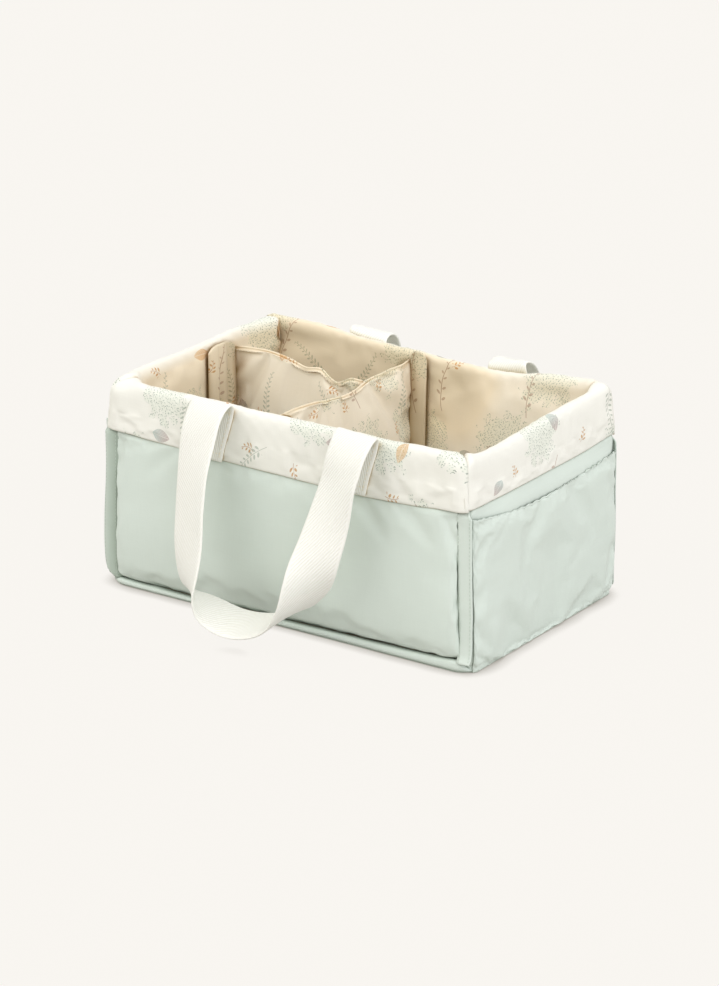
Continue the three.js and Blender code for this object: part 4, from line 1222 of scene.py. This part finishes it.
def long_sway(uv, under):
    """The same for the long divider, which ripples at its top beside the cross divider."""
    by_cross = ease(uv[..., 0] - LONG_CUT, -100, -60)
    sway = 4.2 * drift(uv[..., 0] + 0.25 * under, under * 0.3, 14, 81) * by_cross
    sway = sway + 1.2 * drift(uv[..., 0], 0, 36, 82)
    return (sway * np.exp(-under / 22) + 0.9 * rumple(uv, 42, 83),
            (0.4 + 0.5 * by_cross) * rumple(uv, 11, 84))


def add_cross_divider():
    y = np.linspace(-HALF_DEPTH + 0.6, HALF_DEPTH - 0.6, 49)[:, None]
    sides = 0.65 + 0.35 * drawn_in(y / HALF_DEPTH, 10)
    add_divider("cross", CROSS_X, y, y + CROSS_CUT, np.array([1.0, 0, 0]), smooth_interp(y, CROSS_TOP_AT, 7),
                sides, 0.9, cross_sway)


def add_long_divider():
    t = np.linspace(0, 1, 57)[:, None]
    start, end = -HALF_LENGTH + 0.6, CROSS_X - DIVIDER_HALF + 0.6
    x = start + (end - start) * t
    y = LONG_Y_END + (LONG_Y_CROSS - LONG_Y_END) * t
    sides = 0.7 + 0.3 * drawn_in(2 * t - 1, 10)
    add_divider("long", x, y, x + LONG_CUT, np.array([0.1, 0.995, 0]), smooth_interp(x, LONG_TOP_AT, 4),
                sides, 1.2, long_sway)


def add_flap(name, node, wall, s0, s1, top, full, number):
    """A flap of the divider that lies against a wall, puffed in upright folds between its edges."""
    cut = FLAP_CUT + 120 * number
    across = np.linspace(-1, 1, 25)[:, None]
    s = (s0 + s1) / 2 + across * (s1 - s0) / 2
    level = crowded(45)
    height = top - 5.0 * np.abs(across) ** 4 - 2.0 * np.clip(-across, 0, 1) ** 2
    z = DIVIDER_FOOT + level * (height - DIVIDER_FOOT)
    puff = full * drawn_in(across, 4) * np.sin(np.pi * level) ** 0.35
    if full > 3:
        for fold in (-0.3, 0.3):
            place = fold + 0.1 * drift(z, 0, 40, 97 + number)
            puff = puff * (1 - 0.55 * np.exp(-((across - place) / 0.14) ** 2))
    d_out = -2.9
    d = d_out - 1.4 - puff - 0.3 * drift(z, s, 12, 91 + number)
    face, back = on_wall(wall, s, d, z), on_wall(wall, s, d_out, z)
    uv = grid_of(s + cut, z)
    face, back, uv = map(finer, (face, back, uv))
    from_divider = np.abs(uv[..., 0] - cut - (s0 if full > 3 or s0 > 0 else s1))
    down = ease(top - uv[..., 1], 0, 60)
    # Painted shade on the flap: darker lower down and darkest beside the divider
    shade = 1.35 + 0.6 * down + 1.2 * np.exp(-(from_divider / (15 if full > 3 else 5)) ** 2)
    piece = sheet_piece(name, face, back, uv, 0.8, shade)
    dress(piece, "printed_cloth", "divider_insert", node)
    abs(s1 - s0) / 1000
    (top - FLOOR_TOP) / 1000
    "cross_divider_pad" if number < 2 else "long_divider_pad"


def add_tape(name, node, wall, s0, s1, d_out, body):
    """One of the hook and loop strips, sewn flat."""
    s = np.linspace(s0 + 3, s1 - 3, 9)[:, None]
    z = np.linspace(30, 150, 31)[None, :]
    inner = on_wall(wall, s, d_out - 1.0 - 0.12 * drift(s, z, 3, 95), z)
    piece = sheet_piece(name, inner, on_wall(wall, s, d_out, z), grid_of(s, z), 0.5)
    dress(piece, "hook_loop_tape", body, node)


add_cross_divider()
add_long_divider()
FRONT_EDGE = CROSS_X + DIVIDER_HALF + 0.3
LEFT_EDGE = LONG_Y_END - DIVIDER_HALF - 0.6
FLAPS = [
    ("front_flap_cloth", "cross_divider_front_flap", "front", FRONT_EDGE, FRONT_EDGE + 16, 182.0, 0.9),
    ("back_flap_cloth", "cross_divider_back_flap", "back", -FRONT_EDGE - 16, -FRONT_EDGE, 184.0, 0.9),
    ("left_flap_cloth", "long_divider_end_flap", "left", -LEFT_EDGE, -LEFT_EDGE + 36, 183.0, 5.0),
]
for number, (name, node, side, s0, s1, top, full) in enumerate(FLAPS):
    add_flap(name, node, WALLS[side], s0, s1, top, full, number)
    add_tape(f"{side}_loop_strip", f"{side}_loop_tape", WALLS[side], s0, s1, -1.2, "caddy")
    add_tape(f"{side}_hook_strip", f"{side}_hook_tape", WALLS[side], s0, s1, -2.5, "divider_insert")


# Handles

# Points chosen along the hanging loop, from under its left fold round to under its right one: along the
# wall, outwards and down from the swing line, and how far the strap is turned about its own run (degrees)
LOOP = np.array([
    (-71, 19, 23, -85), (-69, 30, 50, -75), (-66, 39, 79, -72), (-62, 47, 109, -72), (-57, 54, 138, -55),
    (-51, 53, 150, -26), (-40, 49, 160, 4), (-19, 45, 168, 15), (5, 43, 166, 15), (27, 44, 156, 6),
    (44, 46, 141, -16), (55, 46, 121, -41), (62, 42, 98, -74), (67, 32, 69, -88), (71, 24, 39, -103),
    (73, 20, 23, -100)])
# The sewn end of a strap: sideways, out from the wall's inner face, and up
TAB = np.array([(-12.0, 17.8, 137.5), (-9.2, 17.2, 150.0), (-5.6, 16.2, 163.0), (-2.6, 14.2, 174.0),
                (-1.0, 13.6, 182.0)])


def flowing(table, count):
    """Points evenly along a smooth curve through the rows of a table."""
    rows = np.concatenate([2 * table[:1] - table[1:2], table, 2 * table[-1:] - table[-2:-1]])
    at = np.linspace(0, len(table) - 1.000001, count)
    row = at.astype(int)
    t = (at - row)[:, None]
    a, b, c, d = (rows[row + k] for k in range(4))
    return b + t / 2 * (c - a + t * (2 * a - 5 * b + 4 * c - d + t * (3 * b - a - 3 * c + d)))


def hanging_loop(shift, spread):
    """Middle line and width direction of the loop between its two folds."""
    run, out, down, turn = flowing(LOOP.astype(float), 170).T
    out = out + spread * np.exp(-down / 30)
    middle = np.stack([run + shift, SWING_Y - out, SWING_Z - down], 1)
    heading = unit(np.gradient(middle, axis=0))
    level = unit(np.array([0.0, -1.0, 0.0]) + heading * heading[:, 1:2])
    turn = np.radians(turn)[:, None]
    return middle, np.cos(turn) * level + np.sin(turn) * np.cross(heading, level)


def strap_path(shift, spread, folds):
    """The whole strap: sewn end, fold over the rim, hanging loop, fold and sewn end again."""
    middle, across = hanging_loop(shift, spread)
    ends = []
    for leg, (tilt, rise) in zip((1, -1), folds):
        x = shift - leg * HANDLE_HALF_SPACING
        level = np.linspace(TAB[0, 2], TAB[-1, 2], 14)
        side, away = (np.interp(level, TAB[:, 2], TAB[:, k]) for k in (0, 1))
        tab = np.stack([x + side, -lean(HALF_DEPTH + away, level), level], 1)
        high = tab[-1]
        up = unit(tab[-1] - tab[-3])
        end, inward = (0, 1) if leg > 0 else (-1, -2)
        going = unit(middle[inward] - middle[end])
        t = np.linspace(0, 1, 16)[1:-1, None]
        fold = ((1 - t) ** 3 * high + 3 * (1 - t) ** 2 * t * (high + up * rise)
                + 3 * (1 - t) * t ** 2 * (middle[end] - going * 24) + t ** 3 * middle[end])
        tab_across = np.array([math.cos(tilt), 0, -math.sin(tilt)])
        tab_across *= np.sign(tab_across @ across[end])
        fold_across = tab_across + (across[end] - tab_across) * ease(t, 0, 1)
        ends.append((np.concatenate([tab, fold]),
                     np.concatenate([np.repeat(tab_across[None], len(tab), 0), fold_across])))
    (first, first_across), (last, last_across) = ends
    return (np.concatenate([first, middle, last[::-1]]),
            np.concatenate([first_across, across, last_across[::-1]]))


def add_handle(name, shift, spread, folds, turned):
    path, across = strap_path(shift, spread, folds)
    travel = np.concatenate([[0], np.cumsum(np.linalg.norm(np.diff(path, axis=0), axis=1))])
    even = np.linspace(0, travel[-1], int(travel[-1] / STRAP_STEP))
    path, across = (np.stack([np.interp(even, travel, rows[:, k]) for k in range(3)], 1)
                    for rows in (path, across))
    for rows in (path, across) * 3:
        rows[1:-1] = (rows[:-2] + 2 * rows[1:-1] + rows[2:]) / 4
    across = unit(across)
    face = unit(np.cross(unit(np.gradient(path, axis=0)), across))
    if turned:
        spin = np.array([-1.0, -1.0, 1.0])
        path, across, face = path * spin, across * spin, face * spin
    w = np.linspace(-1, 1, 17)[None, :]
    wavy = 0.35 * drift(even, 0, 24, 101)[:, None] * w
    middle = path[:, None, :] + across[:, None, :] * (w * WEBBING_WIDTH / 2)[..., None]
    middle = middle + face[:, None, :] * wavy[..., None]
    thick = WEBBING_THICKNESS / 2 * (1 - 0.25 * np.abs(w) ** 6) + 0 * even[:, None]
    thick = thick[..., None] * face[:, None, :]
    uv = grid_of((w + 1) * WEBBING_WIDTH / 2, even[:, None])
    piece = sheet_piece(name, middle + thick, middle - thick, uv)
    piece.data.materials.append(WEBBING)
    front = normals_of(middle, (0, 1 if turned else -1, 0))
    for end in (slice(2, 22), slice(-22, -2)):
        patch, up = middle[end], front[end]
        up = up * np.sign(np.sum(up.reshape(-1, 3)[:, 1])) * (1 if turned else -1)
        top = patch + up * 1.15
        for k in (1, -2):
            sew("caddy", "webbing", top[:, k], up[:, k])
            sew("caddy", "webbing", top[k, 1:-1], up[k, 1:-1])
    side = "back" if turned else "front"
    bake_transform(piece)
    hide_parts(f"{side}_left_handle_tab", f"{side}_right_handle_tab", f"{side}_handle_loop")


add_handle("front_strap", 7.0, 0, ((0.04, 15), (0.04, 15)), False)
add_handle("back_strap", 1.5, 10, ((0.2, 3), (-0.15, 5)), True)
sew_all()


# Camera, light and floor

# The photograph's height, the camera's focal length and how far its axis is off the middle, in pixels
PHOTO_HEIGHT = 986
FOCAL_LENGTH = 3500
OFF_MIDDLE = (-1.0, -10.6)
SENSOR_WIDTH = 36.0


def add_camera():
    """The photograph's viewpoint: 34.6 degrees to the right, 19.8 degrees up and about 3 m away."""
    azimuth, elevation, distance = math.radians(34.55), math.radians(19.75), 2.974
    target = Vector((0, 0, 0.095))
    level = math.cos(elevation)
    back = Vector((math.sin(azimuth) * level, -math.cos(azimuth) * level, math.sin(elevation)))
    data = bpy.data.cameras.new("camera")
    camera = in_scene("camera", data)
    data.lens = SENSOR_WIDTH * FOCAL_LENGTH / PHOTO_HEIGHT
    data.sensor_width = SENSOR_WIDTH
    data.shift_x, data.shift_y = (shift / PHOTO_HEIGHT for shift in OFF_MIDDLE)
    camera.location = target + back * distance
    camera.rotation_mode = "QUATERNION"
    camera.rotation_quaternion = (-back).to_track_quat("-Z", "Y")
    data.clip_start, data.clip_end = 0.1, 50
    bpy.context.scene.camera = camera


def add_lamp(name, direction, strength, angle, colour):
    data = bpy.data.lights.new(name, "SUN")
    data.energy = strength
    data.angle = math.radians(angle)
    data.color = colour
    lamp = in_scene(name, data)
    lamp.rotation_mode = "QUATERNION"
    lamp.rotation_quaternion = Vector(direction).to_track_quat("Z", "Y")


def add_stage():
    """A pale floor that the camera sees mostly as glowing paper, with a contact shadow painted in close to
    the box, as on a bright studio sweep.
    """
    mesh = bpy.data.meshes.new("studio_floor")
    mesh.from_pydata([(-4, -4, 0), (4, -4, 0), (4, 4, 0), (-4, 4, 0)], [], [[0, 1, 2, 3]])
    floor = in_scene("studio_floor", mesh)
    material = bpy.data.materials.new("studio_floor")
    material.use_nodes = True
    tree = material.node_tree
    n = Nodes(tree)
    shader = tree.nodes["Principled BSDF"]
    shader.inputs["Base Color"].default_value = linear(190, 187, 181)
    shader.inputs["Roughness"].default_value = 1.0
    shader.inputs["Specular IOR Level"].default_value = 0.0
    # Painted contact shadow: ambient occlusion close to the box darkens the floor's glow
    close = n.add("ShaderNodeAmbientOcclusion", {"Distance": 0.018}, "AO", samples=16)
    clear = n.math("MINIMUM", close * 1.5 - 0.25, 1.0)
    glow = n.add("ShaderNodeEmission", {"Color": n.mix(clear, linear(172, 168, 159), linear(250, 247, 242))})
    mixed = n.add("ShaderNodeMixShader", {0: n.seen_rays() * 0.96, 1: Value(n, shader.outputs[0]), 2: glow})
    n.put(tree.nodes["Material Output"].inputs[0], mixed)
    mesh.materials.append(material)


def add_world():
    """A soft white room, brighter overhead, that is seen as pale paper."""
    world = bpy.data.worlds.new("studio")
    world.use_nodes = True
    bpy.context.scene.world = world
    tree = world.node_tree
    n = Nodes(tree)
    height = n.parts(n.add("ShaderNodeTexCoord", None, "Generated"))[2]
    strength = n.math("MAXIMUM", height, 0.0) * 0.18 + 0.74
    room = tree.nodes["Background"]
    n.put(room.inputs[0], (1.0, 0.99, 0.965, 1))
    n.put(room.inputs[1], strength)
    paper = n.add("ShaderNodeBackground", {0: linear(249, 246, 240), 1: 1.0})
    mixed = n.add("ShaderNodeMixShader", {0: n.seen_rays(), 1: Value(n, room.outputs[0]), 2: paper})
    n.put(tree.nodes["World Output"].inputs[0], mixed)


add_camera()
add_world()
add_stage()
add_lamp("key_light", (-0.42, -0.62, 0.74), 0.88, 55, (1.0, 0.985, 0.955))
add_lamp("side_light", (0.82, -0.3, 0.62), 1.25, 60, (0.985, 0.99, 1.07))
bpy.context.scene.view_settings.view_transform = "Standard"
